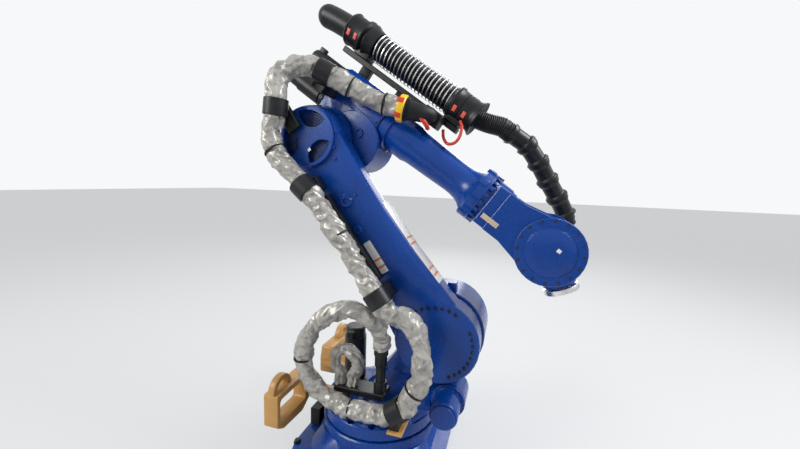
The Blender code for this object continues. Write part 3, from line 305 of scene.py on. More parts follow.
# Finishes


class Skin(Enum):
    """Which shader group a finish uses."""

    ENAMEL = "enamel_skin"
    CLOTH = "foil_cloth"
    MOULDED = "moulded_grain"
    METAL = "drawn_metal"


@dataclass(frozen=True)
class Finish:
    """One surface finish.

    Args:
        name: The material's name.
        skin: Its shader group.
        slot: The record's material slot that it belongs to; not used.
        values: Values of the group's inputs.
        metallic: The shader's metallic value.
        coat: The clear coat's weight.
        bump: The bump's distance, in metres.
        specular: The shader's specular level.
    """

    name: str
    skin: Skin
    slot: str
    values: tuple[tuple[str, object], ...]
    metallic: float = 0.0
    coat: float = 0.0
    bump: float = 0.0004
    specular: float = 0.5

    def material(self) -> bpy.types.Material:
        """Return the finish's material, made on first use."""
        made = bpy.data.materials.get(self.name)
        if made:
            return made
        made = bpy.data.materials.new(self.name)
        made.use_nodes = True
        tree = made.node_tree
        shader = tree.nodes["Principled BSDF"]
        shader.inputs["Metallic"].default_value = self.metallic
        shader.inputs["Coat Weight"].default_value = self.coat
        shader.inputs["Coat Roughness"].default_value = 0.12
        shader.inputs["Specular IOR Level"].default_value = self.specular
        group = tree.nodes.new("ShaderNodeGroup")
        group.node_tree = bpy.data.node_groups[self.skin.value]
        for label, value in self.values:
            group.inputs[label].default_value = value if isinstance(value, (int, float)) else (*value, 1.0)
        bump = tree.nodes.new("ShaderNodeBump")
        bump.inputs["Distance"].default_value = self.bump
        bump.inputs["Strength"].default_value = 0.6
        tree.links.new(group.outputs["Height"], bump.inputs["Height"])
        tree.links.new(bump.outputs[0], shader.inputs["Normal"])
        tree.links.new(group.outputs["Color"], shader.inputs["Base Color"])
        tree.links.new(group.outputs["Roughness"], shader.inputs["Roughness"])
        return made

    def dress(self, piece: Piece) -> Piece:
        """Give a piece this finish."""
        piece.data.materials.clear()
        piece.data.materials.append(self.material())
        return piece


BLUE = Finish("blue_enamel", Skin.ENAMEL, "blue_paint",
              (("Base", (0.0015, 0.053, 0.31)), ("Dust", (0.02, 0.09, 0.32)), ("Dust Amount", 0.2),
               ("Gloss", 0.26)), coat=0.1, specular=0.3)
OCHRE = Finish("ochre_enamel", Skin.ENAMEL, "ochre_paint",
               (("Base", (0.53, 0.28, 0.07)), ("Dust", (0.7, 0.5, 0.25)), ("Dust Amount", 0.35),
                ("Gloss", 0.42)), coat=0.1)
# Shadow is painted shade laid into the sleeve's creases.
SILVER = Finish("silver_sleeve", Skin.CLOTH, "silver_cloth",
                (("Base", (0.36, 0.345, 0.315)), ("Shadow", (0.11, 0.105, 0.098)),
                 ("Rubbed", (0.52, 0.50, 0.46))),
                metallic=0.25, bump=0.0018)
BLACK = Finish("black_moulding", Skin.MOULDED, "black_plastic",
               (("Base", (0.007, 0.0075, 0.009)), ("Dust", (0.08, 0.08, 0.08)), ("Dust Amount", 0.12),
                ("Gloss", 0.3)), specular=0.3)
RUBBER = Finish("black_rubber", Skin.MOULDED, "black_plastic",
                (("Base", (0.006, 0.006, 0.007)), ("Dust", (0.07, 0.07, 0.07)), ("Dust Amount", 0.15),
                 ("Gloss", 0.45)), specular=0.25)
YELLOW = Finish("yellow_moulding", Skin.MOULDED, "yellow_plastic",
                (("Base", (0.83, 0.52, 0.01)), ("Dust", (0.5, 0.35, 0.1)), ("Gloss", 0.3)))
RED = Finish("red_moulding", Skin.MOULDED, "yellow_plastic",
             (("Base", (0.62, 0.035, 0.02)), ("Dust", (0.4, 0.15, 0.1)), ("Gloss", 0.32)))
CORAL = Finish("coral_latch", Skin.MOULDED, "yellow_plastic",
               (("Base", (0.75, 0.10, 0.06)), ("Dust", (0.5, 0.25, 0.2)), ("Gloss", 0.35)))
WHITE = Finish("white_label", Skin.MOULDED, "silver_cloth",
               (("Base", (0.80, 0.79, 0.76)), ("Dust", (0.5, 0.5, 0.48)), ("Gloss", 0.35)))
ORANGE = Finish("orange_band", Skin.MOULDED, "silver_cloth",
                (("Base", (0.80, 0.16, 0.02)), ("Dust", (0.5, 0.3, 0.2)), ("Gloss", 0.35)))
TAN = Finish("tan_plate", Skin.MOULDED, "silver_cloth",
             (("Base", (0.55, 0.44, 0.33)), ("Dust", (0.4, 0.35, 0.3)), ("Gloss", 0.4)))
STEEL = Finish("bright_wire", Skin.METAL, "bright_steel", (("Base", (0.78, 0.78, 0.79)),), metallic=1.0,
               bump=0.0001)
DARK_STEEL = Finish("black_oxide_screw", Skin.METAL, "black_plastic",
                    (("Base", (0.03, 0.03, 0.034)), ("Tarnish", (0.08, 0.07, 0.06)), ("Gloss", 0.28)),
                    metallic=0.7, bump=0.0001)
BLUE_SCREW = Finish("blue_painted_screw", Skin.ENAMEL, "blue_paint",
                    (("Base", (0.006, 0.045, 0.30)), ("Dust", (0.02, 0.03, 0.06)), ("Dust Amount", 0.5),
                     ("Gloss", 0.3)), coat=0.2)


# Mesh tools


def new_piece(bm: Mesh, name: str, finish: Finish, body: str, smooth: float = 35.0) -> Piece:
    """Turn a bmesh into a finished piece that rides on a body.

    Args:
        bm: The mesh, in the row frame.
        name: The piece's name.
        finish: Its finish.
        body: The body that it rides on.
        smooth: The angle over which an edge stays sharp.

    Returns:
        The piece.
    """
    bmesh.ops.recalc_face_normals(bm, faces=bm.faces)
    data = bpy.data.meshes.new(name)
    bm.to_mesh(data)
    bm.free()
    data.shade_smooth()
    data.set_sharp_from_angle(angle=math.radians(smooth))
    piece = bpy.data.objects.new(name, data)
    bpy.context.scene.collection.objects.link(piece)
    finish.dress(piece)
    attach(piece, body)
    log.info("%s: %d faces on %s", name, len(data.polygons), body)
    return piece


def add_ring(bm: Mesh, points: Sequence[Vector]) -> list[bmesh.types.BMVert]:
    """Add one ring of vertices."""
    return [bm.verts.new(p) for p in points]


def skin_rings(bm: Mesh, rings: Sequence[Sequence[bmesh.types.BMVert]], closed: bool = True) -> None:
    """Join rings of equal count with quads and cap both ends.

    Args:
        bm: The mesh.
        rings: The rings, in order.
        closed: Whether the ends get caps.
    """
    for low, high in zip(rings, rings[1:]):
        count = len(low)
        for k in range(count):
            bm.faces.new((low[k], low[(k + 1) % count], high[(k + 1) % count], high[k]))
    if closed:
        bm.faces.new(rings[0])
        bm.faces.new(rings[-1])


def axis_frame(at: Vector, way: Vector) -> Matrix:
    """A frame at a point whose +Z lies along a direction."""
    return Matrix.Translation(at) @ Vector(way).to_track_quat("Z", "Y").to_matrix().to_4x4()


def lathe(bm: Mesh, profile: Profile, where: Matrix, steps: int = 40, hexagon: int = 99) -> None:
    """Revolve (height, radius) pairs about a frame's +Z and add the solid to a mesh.

    Args:
        bm: The mesh.
        profile: The pairs, in order along the surface.
        where: The frame.
        steps: Facets round.
        hexagon: The index from which rings are hexagonal.
    """
    rings = []
    for index, (height, radius) in enumerate(profile):
        points = []
        for k in range(steps):
            angle = 2 * math.pi * k / steps
            reach = radius
            if index >= hexagon:
                off = (angle + math.pi / 6) % (math.pi / 3) - math.pi / 6
                reach = radius / math.cos(off)
            points.append(where @ Vector((reach * math.cos(angle), reach * math.sin(angle), height)))
        rings.append(add_ring(bm, points))
    skin_rings(bm, rings)


def block(bm: Mesh, low: Point, high: Point, where: Matrix = Place.WORLD, edge: float = 0.002) -> None:
    """Add a box with rounded edges to a mesh.

    Args:
        bm: The mesh.
        low: Its lowest corner.
        high: Its highest corner.
        where: The frame that the corners are in.
        edge: The width of its bevels.
    """
    size = Vector(high) - Vector(low)
    middle = (Vector(high) + Vector(low)) / 2
    made = bmesh.ops.create_cube(bm, size=1, matrix=Matrix.Translation(middle) @ Matrix.Diagonal((*size, 1)))
    edges = {e for v in made["verts"] for e in v.link_edges}
    rounded = bmesh.ops.bevel(bm, geom=list(edges), offset=edge, segments=2, profile=0.6, affect="EDGES")
    verts = set(made["verts"]) | set(rounded["verts"])
    bmesh.ops.transform(bm, matrix=where, verts=[v for v in verts if v.is_valid])


def catmull(route: Sequence[Vector], count: int) -> list[Vector]:
    """Even points along a smooth curve through a route.

    Args:
        route: The points that it passes.
        count: How many points to return.

    Returns:
        The points.
    """
    ends = [2 * route[0] - route[1]] + list(route) + [2 * route[-1] - route[-2]]
    fine = []
    for a, b, c, d in zip(ends, ends[1:], ends[2:], ends[3:]):
        for k in range(24):
            t = k / 24
            fine.append(0.5 * (2 * b + (c - a) * t + (2 * a - 5 * b + 4 * c - d) * t ** 2
                               + (3 * b - a - 3 * c + d) * t ** 3))
    fine.append(route[-1])
    reach = [0.0]
    for a, b in zip(fine, fine[1:]):
        reach.append(reach[-1] + (b - a).length)
    made, i = [], 1
    for k in range(count):
        wanted = reach[-1] * k / (count - 1)
        while i < len(fine) - 1 and reach[i] < wanted:
            i += 1
        share = (wanted - reach[i - 1]) / max(reach[i] - reach[i - 1], 1e-9)
        made.append(fine[i - 1].lerp(fine[i], min(max(share, 0.0), 1.0)))
    return made


def path_length(path: Sequence[Vector]) -> float:
    """The length of a polyline."""
    return sum((b - a).length for a, b in zip(path, path[1:]))


def sweep(bm: Mesh, path: Sequence[Vector], radius: Callable[[float, float], float], steps: int) -> None:
    """Sweep a round section along a path.

    Args:
        bm: The mesh.
        path: The path's points.
        radius: Gives the radius at a length along the path and an angle.
        steps: Facets round.
    """
    rings, side, run = [], None, 0.0
    for k, point in enumerate(path):
        way = (path[min(k + 1, len(path) - 1)] - path[max(k - 1, 0)]).normalized()
        side = way.orthogonal() if side is None else side - way * side.dot(way)
        side = side.normalized()
        up = way.cross(side)
        if k:
            run += (point - path[k - 1]).length
        ring = []
        for j in range(steps):
            angle = 2 * math.pi * j / steps
            ring.append(point + radius(run, angle) * (side * math.cos(angle) + up * math.sin(angle)))
        rings.append(add_ring(bm, ring))
    skin_rings(bm, rings)


def moved(points: Sequence[Point], where: Matrix) -> list[Vector]:
    """Points of a frame, in the row frame."""
    return [where @ Vector(p) for p in points]


# Cast and moulded bodies


@dataclass
class Bodywork:
    """The CAD solids that keep their own shape, with softened edges.

    Args:
        edge: The bevel's width on castings, in metres.
        fine_edge: The bevel's width on small pieces, in metres.
    """

    edge: float = 0.004
    fine_edge: float = 0.0015

    def soften(self, node: str, finish: Finish, edge: Optional[float] = None) -> Piece:
        """Rebuild a node with welded points, rounded edges and smooth shading.

        Args:
            node: The CAD node.
            finish: Its finish.
            edge: The bevel's width, or None for a casting's.

        Returns:
            The piece that replaces the node.
        """
        bm = bmesh.new()
        bm.from_mesh(frame["nodes"][node].data)
        bmesh.ops.remove_doubles(bm, verts=bm.verts, dist=0.00002)
        bmesh.ops.dissolve_limit(bm, angle_limit=math.radians(0.6), verts=bm.verts, edges=bm.edges)
        piece = new_piece(bm, f"{node}_dressed", finish, frame["nodes"][node]["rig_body"])
        bevel = piece.modifiers.new("edges", "BEVEL")
        bevel.width = self.edge if edge is None else edge
        bevel.segments = 2
        bevel.limit_method = "ANGLE"
        bevel.angle_limit = math.radians(38)
        bevel.use_clamp_overlap = True
        bevel.harden_normals = True
        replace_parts(piece, node)
        return piece

    def build(self) -> None:
        """Dress every solid that keeps its shape."""
        castings = ("base_casting", "head_casting", "head_drive_cylinder", "head_drive_cap",
                    "lower_arm_casting", "boss_cover", "elbow_casting", "wrist_cover_near",
                    "wrist_cover_far", "wrist_unit")
        for node in castings:
            self.soften(node, BLUE)
        self.soften("lifting_eye", BLUE, self.fine_edge)
        self.soften("hose_bracket", OCHRE, self.fine_edge * 2)
        blacks = ("base_connector_box", "s_axis_motor", "l_axis_motor", "connector_shelf",
                  "connector_bundle", "loop_clamp", "arm_cable_rail", "arm_clamp_low", "arm_clamp_mid",
                  "arm_clamp_top", "elbow_clamp", "u_axis_motor", "wrist_motor_near", "wrist_motor_top",
                  "wrist_motor_far", "junction_box", "pack_rail", "pack_end_fitting")
        for node in blacks:
            self.soften(node, BLACK, self.fine_edge)
        self.soften("cable_gland", YELLOW, self.fine_edge)
        self.soften("tool_flange", STEEL, self.fine_edge)


# Sleeves


@dataclass
class Sleeve:
    """One length of creased silver sleeve.

    CREASE and PUCKER are the heights of its folds and of the small puckers, in metres, and TWIST is how
    far the folds wind round it per metre, in radians.

    Args:
        name: The piece's name.
        node: The CAD node that it replaces.
        route: The points of its line, in the row frame.
        radius: Its mean radius.
        seed: Where in the noise its creases start.
        body: The body that it rides on, unless it spans two.
        span: The second body and the line's start and end, where it crosses a joint.
    """

    name: str
    node: str
    route: list[Vector]
    radius: float
    seed: float
    body: str
    span: Optional[tuple[str, Point, Point]] = None

    CREASE = 0.012
    PUCKER = 0.0035
    TWIST = 9.0
    RING_STEP = 0.0036
    STEPS = 56

    def surface(self, run: float, angle: float) -> float:
        """The sleeve's radius at a length and an angle: folds that wind round it, and small puckers."""
        warp = 0.5 * noise.noise(Vector((math.cos(angle), math.sin(angle), run * 9 + self.seed)))
        wound = angle + self.TWIST * run
        x, y = math.cos(wound), math.sin(wound)
        broad = noise.noise(Vector((x * 0.8, y * 0.8, run * 17 + warp + self.seed)))
        sharp = noise.noise(Vector((x * 1.6 + 5, y * 1.6, run * 34 + 2 * warp + self.seed * 2)))
        slack = noise.noise(Vector((x * 0.6, y * 0.6 + 9, run * 7 + self.seed)))
        fold = (0.24 - abs(broad)) * self.CREASE * 2 + (0.22 - abs(sharp)) * self.PUCKER * 2
        return self.radius + fold + slack * self.CREASE * 0.9

    def build(self) -> Piece:
        """Make the sleeve.

        Returns:
            The sleeve.
        """
        length = path_length(catmull(self.route, 60))
        path = catmull(self.route, max(12, int(length / self.RING_STEP)))
        bm = bmesh.new()
        sweep(bm, path, self.surface, self.STEPS)
        piece = new_piece(bm, self.name, SILVER, self.body, smooth=70)
        if self.span:
            piece.parent = None
            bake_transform(piece)
        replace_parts(piece, self.node)
        return piece


def toward(start: Vector, way: Point, distance: float) -> Vector:
    """The point a distance away from start along a direction."""
    return Vector(start) + Vector(way).normalized() * distance


@dataclass
class ClampPlace:
    """Where a clamp holds its sleeve, in its body's frame.

    Args:
        at: The clamp's middle.
        way: The sleeve's direction through it.
        where: The body's rest frame.
    """

    at: Point
    way: Point
    where: Matrix

    WIDTH = 0.075

    def leaves(self, side: int) -> list[Vector]:
        """The points by which a sleeve leaves the clamp's middle on one side, in the row frame."""
        reaches = (0.0003, self.WIDTH / 2, self.WIDTH / 2 + 0.02)
        return [self.where @ toward(Vector(self.at), self.way, side * reach) for reach in reaches]

    def arrives(self, side: int) -> list[Vector]:
        """The same points towards the clamp's middle."""
        return self.leaves(side)[::-1]


def straight(start: Vector, way: Vector) -> list[Vector]:
    """Three points in line from start."""
    return [start + way.normalized() * share * 0.05 for share in (0.0, 0.6, 1.0)]


@dataclass
class HoseRun:
    """All the silver sleeves, from the foot's loops to the gland on the elbow."""

    loop: ClampPlace
    low: ClampPlace
    mid: ClampPlace
    top: ClampPlace
    elbow: ClampPlace

    GLAND_WIDTH = 0.034

    @classmethod
    def at_rest(cls) -> "HoseRun":
        """The clamps where the photograph shows them."""
        return cls(ClampPlace((0.205, -0.36, 0.407), (0.126, 0.0, 0.10), Place.WORLD),
                   ClampPlace((-0.062, -0.36, 0.329), (-0.01, 0.0, 0.20), Place.ARM),
                   ClampPlace((-0.100, -0.36, 0.925), (-0.05, 0.0, 0.20), Place.ARM),
                   ClampPlace((-0.021, -0.36, 1.306), (0.65, 0.0, 0.76), Place.ARM),
                   ClampPlace((-0.110, -0.245, 0.032), (0.085, 0.03, 0.012), Place.ROLL))

    def foot_loops(self) -> list[Sleeve]:
        """The three loops on the turntable head."""
        right = self.loop.leaves(1) + moved([
            (0.267, -0.36, 0.485), (0.303, -0.36, 0.56), (0.312, -0.36, 0.64), (0.305, -0.36, 0.72),
            (0.275, -0.36, 0.79), (0.227, -0.36, 0.836), (0.176, -0.36, 0.852)], Place.WORLD)
        right += self.low.arrives(-1)
        top = Vector((0.083, -0.25, 0.6303))
        left = self.loop.leaves(-1) + moved([
            (0.115, -0.355, 0.363), (0.05, -0.35, 0.353), (-0.03, -0.345, 0.352), (-0.10, -0.345, 0.362),
            (-0.17, -0.345, 0.387), (-0.225, -0.345, 0.427), (-0.268, -0.345, 0.487), (-0.286, -0.345, 0.56),
            (-0.275, -0.345, 0.645), (-0.235, -0.345, 0.72), (-0.17, -0.345, 0.785), (-0.09, -0.34, 0.825),
            (-0.02, -0.33, 0.832), (0.040, -0.31, 0.80), (0.073, -0.275, 0.74)], Place.WORLD)
        left += straight(top, Vector((0, 0, 1)))[::-1]
        up = Vector((0, 0, 1))
        inner = straight(Vector((-0.13, -0.25, 0.4153)), up) + moved([
            (-0.16, -0.255, 0.51), (-0.145, -0.26, 0.57), (-0.09, -0.262, 0.60), (-0.035, -0.262, 0.57),
            (-0.035, -0.255, 0.51)], Place.WORLD) + straight(Vector((-0.06, -0.25, 0.4153)), up)[::-1]
        return [
            Sleeve("loop_sleeve_right", "sleeve_loop_right", right, 0.044, 3.0, "head",
                   ("lower_arm", (0.26, -0.36, 0.46), (0.13, -0.36, 0.86))),
            Sleeve("loop_sleeve_left", "sleeve_loop_left", left, 0.041, 11.0, "head"),
            Sleeve("inner_loop_sleeve", "sleeve_inner_loop", inner, 0.027, 23.0, "head"),
        ]

    def arm_runs(self) -> list[Sleeve]:
        """The run along the arm, the run over the elbow and the run to the gland."""
        along = self.low.leaves(1)
        along += moved([(-0.069, -0.36, 0.50), (-0.070, -0.36, 0.655), (-0.078, -0.36, 0.80)], Place.ARM)
        along += self.mid.arrives(-1) + self.mid.leaves(1)[1:]
        along += moved([(-0.126, -0.36, 1.045), (-0.134, -0.36, 1.15), (-0.100, -0.36, 1.235)], Place.ARM)
        along += self.top.arrives(-1)
        over = self.top.leaves(1)
        over += moved([(-0.218, -0.352, -0.13), (-0.232, -0.335, -0.08), (-0.215, -0.308, -0.025),
                       (-0.18, -0.278, 0.012)], Place.ROLL) + self.elbow.arrives(-1)
        reach = self.GLAND_WIDTH / 2 + 0.0003
        back = Place.ROLL @ toward(Vector(GLAND_AT), GLAND_WAY, -reach)
        way = Place.ROLL.to_3x3() @ -Vector(GLAND_WAY)
        last = self.elbow.leaves(1)
        last += moved([(-0.02, -0.215, 0.045), (0.06, -0.19, 0.054), (0.14, -0.17, 0.068)], Place.ROLL)
        last += straight(back, way)[::-1]
        return [
            Sleeve("arm_sleeve", "sleeve_arm", along, 0.045, 37.0, "lower_arm"),
            Sleeve("elbow_sleeve", "sleeve_over_elbow", over, 0.045, 51.0, "lower_arm",
                   ("elbow", (-0.44, -0.36, 1.72), (-0.27, -0.27, 1.90))),
            Sleeve("gland_sleeve", "sleeve_to_gland", last, 0.045, 63.0, "elbow"),
        ]

    def build(self) -> None:
        """Make every sleeve."""
        for sleeve in self.foot_loops() + self.arm_runs():
            sleeve.build()


# Dress pack


@dataclass
class DressPack:
    """The hose pack over the forearm: spring, corrugated hoses and jointed conduit.

    Args:
        y: The pack's line, across.
        z: The pack's line, above the roll axis.
        spring_low: Where the spring starts.
        spring_high: Where the spring ends.
        turns: The spring's turns.
        spring_radius: The radius of the spring's line.
        wire: The radius of its wire.
        conduit_route: The conduit's line after its first joint.
        joint_at: Where the conduit starts.
        joint_way: The way that it starts.
    """

    y: float = 0.06
    z: float = 0.285
    spring_low: float = -0.0955
    spring_high: float = 0.3955
    turns: int = 21
    spring_radius: float = 0.072
    wire: float = 0.0033
    conduit_route: tuple[Point, ...] = ((0.817, 0.135, 0.325), (0.908, 0.165, 0.296), (0.976, 0.19, 0.267),
                                        (1.046, 0.215, 0.237), (1.13, 0.245, 0.203), (1.19, 0.265, 0.172))
    joint_at: Point = (0.71, 0.10, 0.325)
    joint_way: Point = (0.104, 0.035, 0.004)

    REAR_SPOOL = ((0.0, 0.066), (0.0, 0.082), (0.008, 0.086), (0.018, 0.080), (0.085, 0.079),
                  (0.094, 0.091), (0.104, 0.091), (0.114, 0.076), (0.124, 0.079), (0.131, 0.090),
                  (0.140, 0.086), (0.158, 0.079), (0.185, 0.074), (0.187, 0.050))
    FRONT_SPOOL = ((0.0, 0.050), (0.0, 0.073), (0.010, 0.077), (0.016, 0.086), (0.028, 0.086),
                   (0.036, 0.079), (0.070, 0.078), (0.072, 0.0745), (0.078, 0.0745), (0.080, 0.078),
                   (0.112, 0.078), (0.128, 0.076), (0.146, 0.082), (0.158, 0.091), (0.163, 0.091),
                   (0.160, 0.084), (0.152, 0.052))
    COLLAR_HOSE = ((0.318, -0.162, 0.120), (0.345, -0.158, 0.128), (0.378, -0.146, 0.127),
                   (0.402, -0.128, 0.118), (0.412, -0.105, 0.108))
    RED_LOOP = ((0.50, -0.02, 0.225), (0.528, -0.04, 0.205), (0.548, -0.05, 0.165),
                (0.545, -0.05, 0.128), (0.518, -0.045, 0.106), (0.480, -0.02, 0.118),
                (0.452, 0.0, 0.145))
    FOOT_HALF = 0.045
    RAIL_TOP = 0.1952
    LATCH_ANGLE = 200
    SOCKET_RADIUS = 0.0535
    PIPE_RADIUS = 0.044
    SOCKET_STEP = 0.0095
    TUBE_RADIUS = 0.061
    HOSE_START = -0.0997
    HOSE_LENGTH = 0.4994
    FRONT_HOSE_START = 0.5003

    def spring(self) -> None:
        """The bright return spring."""
        steps = 28
        pitch = (self.spring_high - self.spring_low) / self.turns
        path = []
        for k in range(self.turns * steps + 1):
            angle = 2 * math.pi * k / steps
            path.append(Place.ROLL @ Vector((self.spring_low + pitch * k / steps,
                                             self.y + self.spring_radius * math.cos(angle),
                                             self.z + self.spring_radius * math.sin(angle))))
        bm = bmesh.new()
        sweep(bm, path, lambda run, angle: self.wire, 8)
        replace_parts(new_piece(bm, "return_spring", STEEL, "elbow"), "pack_spring")

    def corrugated(self, name: str, node: str, path: list[Vector], radius: float, pitch: float,
                   depth: float) -> None:
        """A ribbed hose.

        Args:
            name: The piece's name.
            node: The CAD node that it replaces.
            path: Its line.
            radius: Its outer radius.
            pitch: The ribs' spacing.
            depth: The ribs' depth.
        """
        bm = bmesh.new()

        def ribbed(run: float, angle: float) -> float:
            """The ribbed hose's radius."""
            return radius - depth * (0.5 + 0.5 * math.cos(2 * math.pi * run / pitch)) ** 2

        sweep(bm, path, ribbed, 28)
        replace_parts(new_piece(bm, name, RUBBER, "elbow", smooth=60), node)

    def conduit(self) -> None:
        """The ball-jointed conduit: six ball sockets with ribbed collars between them."""
        start = Vector(self.joint_at)
        way = Vector(self.joint_way)
        route = moved([tuple(p) for p in straight(start + way.normalized() * 0.0003, way)], Place.ROLL)
        route += moved(self.conduit_route, Place.ROLL)
        length = path_length(catmull(route, 80))
        pitch = length / 5
        path = catmull(route, 260)

        def radius(run: float, angle: float) -> float:
            """The conduit's radius: a beaded socket, the ball in it and a plain pipe in each pitch."""
            share = (run / pitch + 0.12) % 1.0
            if share < 0.16:
                return self.SOCKET_RADIUS + (0.003 if 0.05 <= share < 0.10 else 0.0)
            if share < 0.40:
                return self.SOCKET_RADIUS - self.SOCKET_STEP * ((share - 0.16) / 0.24) ** 2
            return self.PIPE_RADIUS + self.SOCKET_STEP * max(0.0, share - 0.93) / 0.07

        bm = bmesh.new()
        sweep(bm, path, radius, 36)
        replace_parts(new_piece(bm, "jointed_conduit", BLACK, "elbow", smooth=40), "pack_conduit")

    def housings(self) -> None:
        """The two spool-shaped clamp housings with flared lips, on their feet."""
        for side, start, foot, profile in (("rear", -0.285, -0.195, self.REAR_SPOOL),
                                           ("front", 0.388, 0.405, self.FRONT_SPOOL)):
            bm = bmesh.new()
            where = Place.ROLL @ Matrix.Translation((start, self.y, self.z)) @ spin(90, "Y")
            lathe(bm, profile, where, 56)
            low = (foot, self.y - self.FOOT_HALF, self.RAIL_TOP)
            high = (foot + 2 * self.FOOT_HALF, self.y + self.FOOT_HALF, self.z - self.FOOT_HALF)
            block(bm, low, high, Place.ROLL, 0.004)
            for angle in (-62, -118):
                block(bm, (-0.006, 0.07, 0.03), (0.006, 0.089, 0.10), where @ spin(angle, "Z"), 0.002)
            housing = new_piece(bm, f"pack_housing_{side}", BLACK, "elbow", smooth=40)
            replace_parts(housing, f"pack_clamp_{side}")

    def rear_tube(self) -> None:
        """The closed tube behind the rear housing, round at its end and drooping a little."""
        drops = ((-0.20, 0.0), (-0.30, 0.004), (-0.40, 0.012), (-0.505, 0.028))
        path = catmull(moved([(x, self.y, self.z - drop) for x, drop in drops], Place.ROLL), 70)
        whole = path_length(path)

        def radius(run: float, angle: float) -> float:
            """The tube's radius, rounded to its end."""
            left = min(max(0.0, whole - run) / self.TUBE_RADIUS, 1.0)
            return self.TUBE_RADIUS * math.sqrt(max(0.0004, 1 - (1 - left) ** 2))

        bm = bmesh.new()
        sweep(bm, path, radius, 48)
        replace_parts(new_piece(bm, "pack_closed_tube", BLACK, "elbow", smooth=60), "pack_rear_tube")

    def red_hoses(self) -> None:
        """The red hose beside the gland's collar and the small red loop under the front housing."""
        for name, radius, route in (("collar_red_hose", 0.011, self.COLLAR_HOSE),
                                    ("front_red_loop", 0.0075, self.RED_LOOP)):
            bm = bmesh.new()
            sweep(bm, catmull(moved(route, Place.ROLL), 48), lambda run, angle: radius, 14)
            new_piece(bm, name, RED, "elbow", smooth=60)

    def latches(self) -> None:
        """The coral latches and dark screws on the two clamp housings."""
        bm, screws = bmesh.new(), bmesh.new()
        for places in ((-0.255, -0.210), (0.436, 0.492)):
            way = outward(self.LATCH_ANGLE)
            for x in places:
                base = Place.ROLL @ Matrix.Translation(Vector((x, self.y, self.z)) + way * 0.078)
                base = base @ spin(self.LATCH_ANGLE, "X")
                block(bm, (-0.009, -0.004, -0.015), (0.009, 0.0055, 0.015), base, 0.0015)
                spot = Place.ROLL @ axis_frame(Vector((x + 0.019, self.y, self.z)) + way * 0.077, way)
                lathe(screws, SCREW_PROFILE, spot @ Matrix.Scale(0.5, 4), 18, 4)
        new_piece(bm, "pack_latches", CORAL, "elbow")
        new_piece(screws, "pack_clamp_screws", DARK_STEEL, "elbow")

    def build(self) -> None:
        """Make the whole pack."""
        self.spring()
        hose = [Place.ROLL @ Vector((self.HOSE_START + self.HOSE_LENGTH * k / 160, self.y, self.z))
                for k in range(161)]
        self.corrugated("pack_ribbed_hose", "pack_hose", hose, 0.064, 0.0117, 0.006)
        start = Vector((self.FRONT_HOSE_START, self.y, self.z))
        end = Vector(self.joint_at)
        route = straight(start, Vector((1, 0, 0))) + [Vector((0.6003, 0.067, 0.298))]
        route += straight(end, -Vector(self.joint_way))[::-1]
        path = catmull(moved([tuple(p) for p in route], Place.ROLL), 110)
        self.corrugated("front_ribbed_hose", "pack_front_hose", path, 0.0475, 0.0095, 0.004)
        self.conduit()
        self.housings()
        self.rear_tube()
        self.latches()
        self.red_hoses()


# Screws and small fittings

SCREW_PROFILE: Profile = ((-0.004, 0.0085), (0.0065, 0.0085), (0.0085, 0.0072), (0.0085, 0.0046),
                          (0.0085, 0.0038), (0.003, 0.0038))
SUNK_PROFILE: Profile = ((-0.001, 0.0105), (0.0012, 0.0105), (0.0016, 0.0098), (0.0004, 0.0085),
                         (0.0004, 0.0042), (-0.0006, 0.0042))
HEX_WASHER: Profile = ((-0.003, 0.0135), (0.0018, 0.0135), (0.0018, 0.0128))
HEX_HEAD: Profile = ((0.0018, 0.0095), (0.0095, 0.0095), (0.011, 0.008))


class Head(Enum):
    """The kinds of screw heads on the robot."""

    SOCKET = "socket"
    HEX = "hex"
    SUNK = "sunk"


@dataclass
class ScrewRing:
    """A set of equal screws on a circle.

    Args:
        name: The piece's name.
        body: The body that carries it.
        where: The circle's frame, +Z out of the surface.
        radius: The circle's radius.
        angles: Each screw's angle, in degrees.
        scale: The screws' size against a 17 mm head.
        head: Their kind.
        finish: Their finish.
        lift: Gives each screw's extra height from its place in the circle's frame.
    """

    name: str
    body: str
    where: Matrix
    radius: float
    angles: Sequence[float]
    scale: float = 1.0
    head: Head = Head.SOCKET
    finish: Finish = DARK_STEEL
    lift: Callable[[Vector], float] = lambda point: 0.0

    def build(self) -> None:
        """Make the screws, and the dark counterbores of sunk ones."""
        bm = bmesh.new()
        for angle in self.angles:
            turn = math.radians(angle)
            at = Vector((self.radius * math.cos(turn), self.radius * math.sin(turn), 0))
            rise = Matrix.Translation(at + Vector((0, 0, self.lift(at))))
            spot = self.where @ rise @ Matrix.Scale(self.scale, 4)
            if self.head is Head.HEX:
                lathe(bm, HEX_WASHER, spot, 24)
                lathe(bm, HEX_HEAD, spot, 24, 0)
            else:
                lathe(bm, SUNK_PROFILE if self.head is Head.SUNK else SCREW_PROFILE, spot, 24, 4)
        new_piece(bm, self.name, self.finish, self.body)


def every(count: int, start: float = 0.0) -> list[float]:
    """Equal angles round a circle."""
    return [start + 360.0 * k / count for k in range(count)]


def facing(at: Point, way: Point, where: Matrix = Place.WORLD) -> Matrix:
    """A frame at a point of a body's frame whose +Z lies along a direction there."""
    return where @ axis_frame(Vector(at), Vector(way))


def rim_screws(name: str, body: str, x: float, radius: float, angles: Sequence[float], scale: float) -> None:
    """Screws that stand out round a rim about the roll axis.

    Args:
        name: The piece's name.
        body: The body that carries them.
        x: Where along the roll axis.
        radius: The rim's radius.
        angles: Each screw's angle.
        scale: Their size.
    """
    bm = bmesh.new()
    for angle in angles:
        way = outward(angle)
        spot = Place.ROLL @ axis_frame(Vector((x, 0, 0)) + way * radius, way) @ Matrix.Scale(scale, 4)
        lathe(bm, SCREW_PROFILE, spot, 18, 4)
    new_piece(bm, name, DARK_STEEL, body)


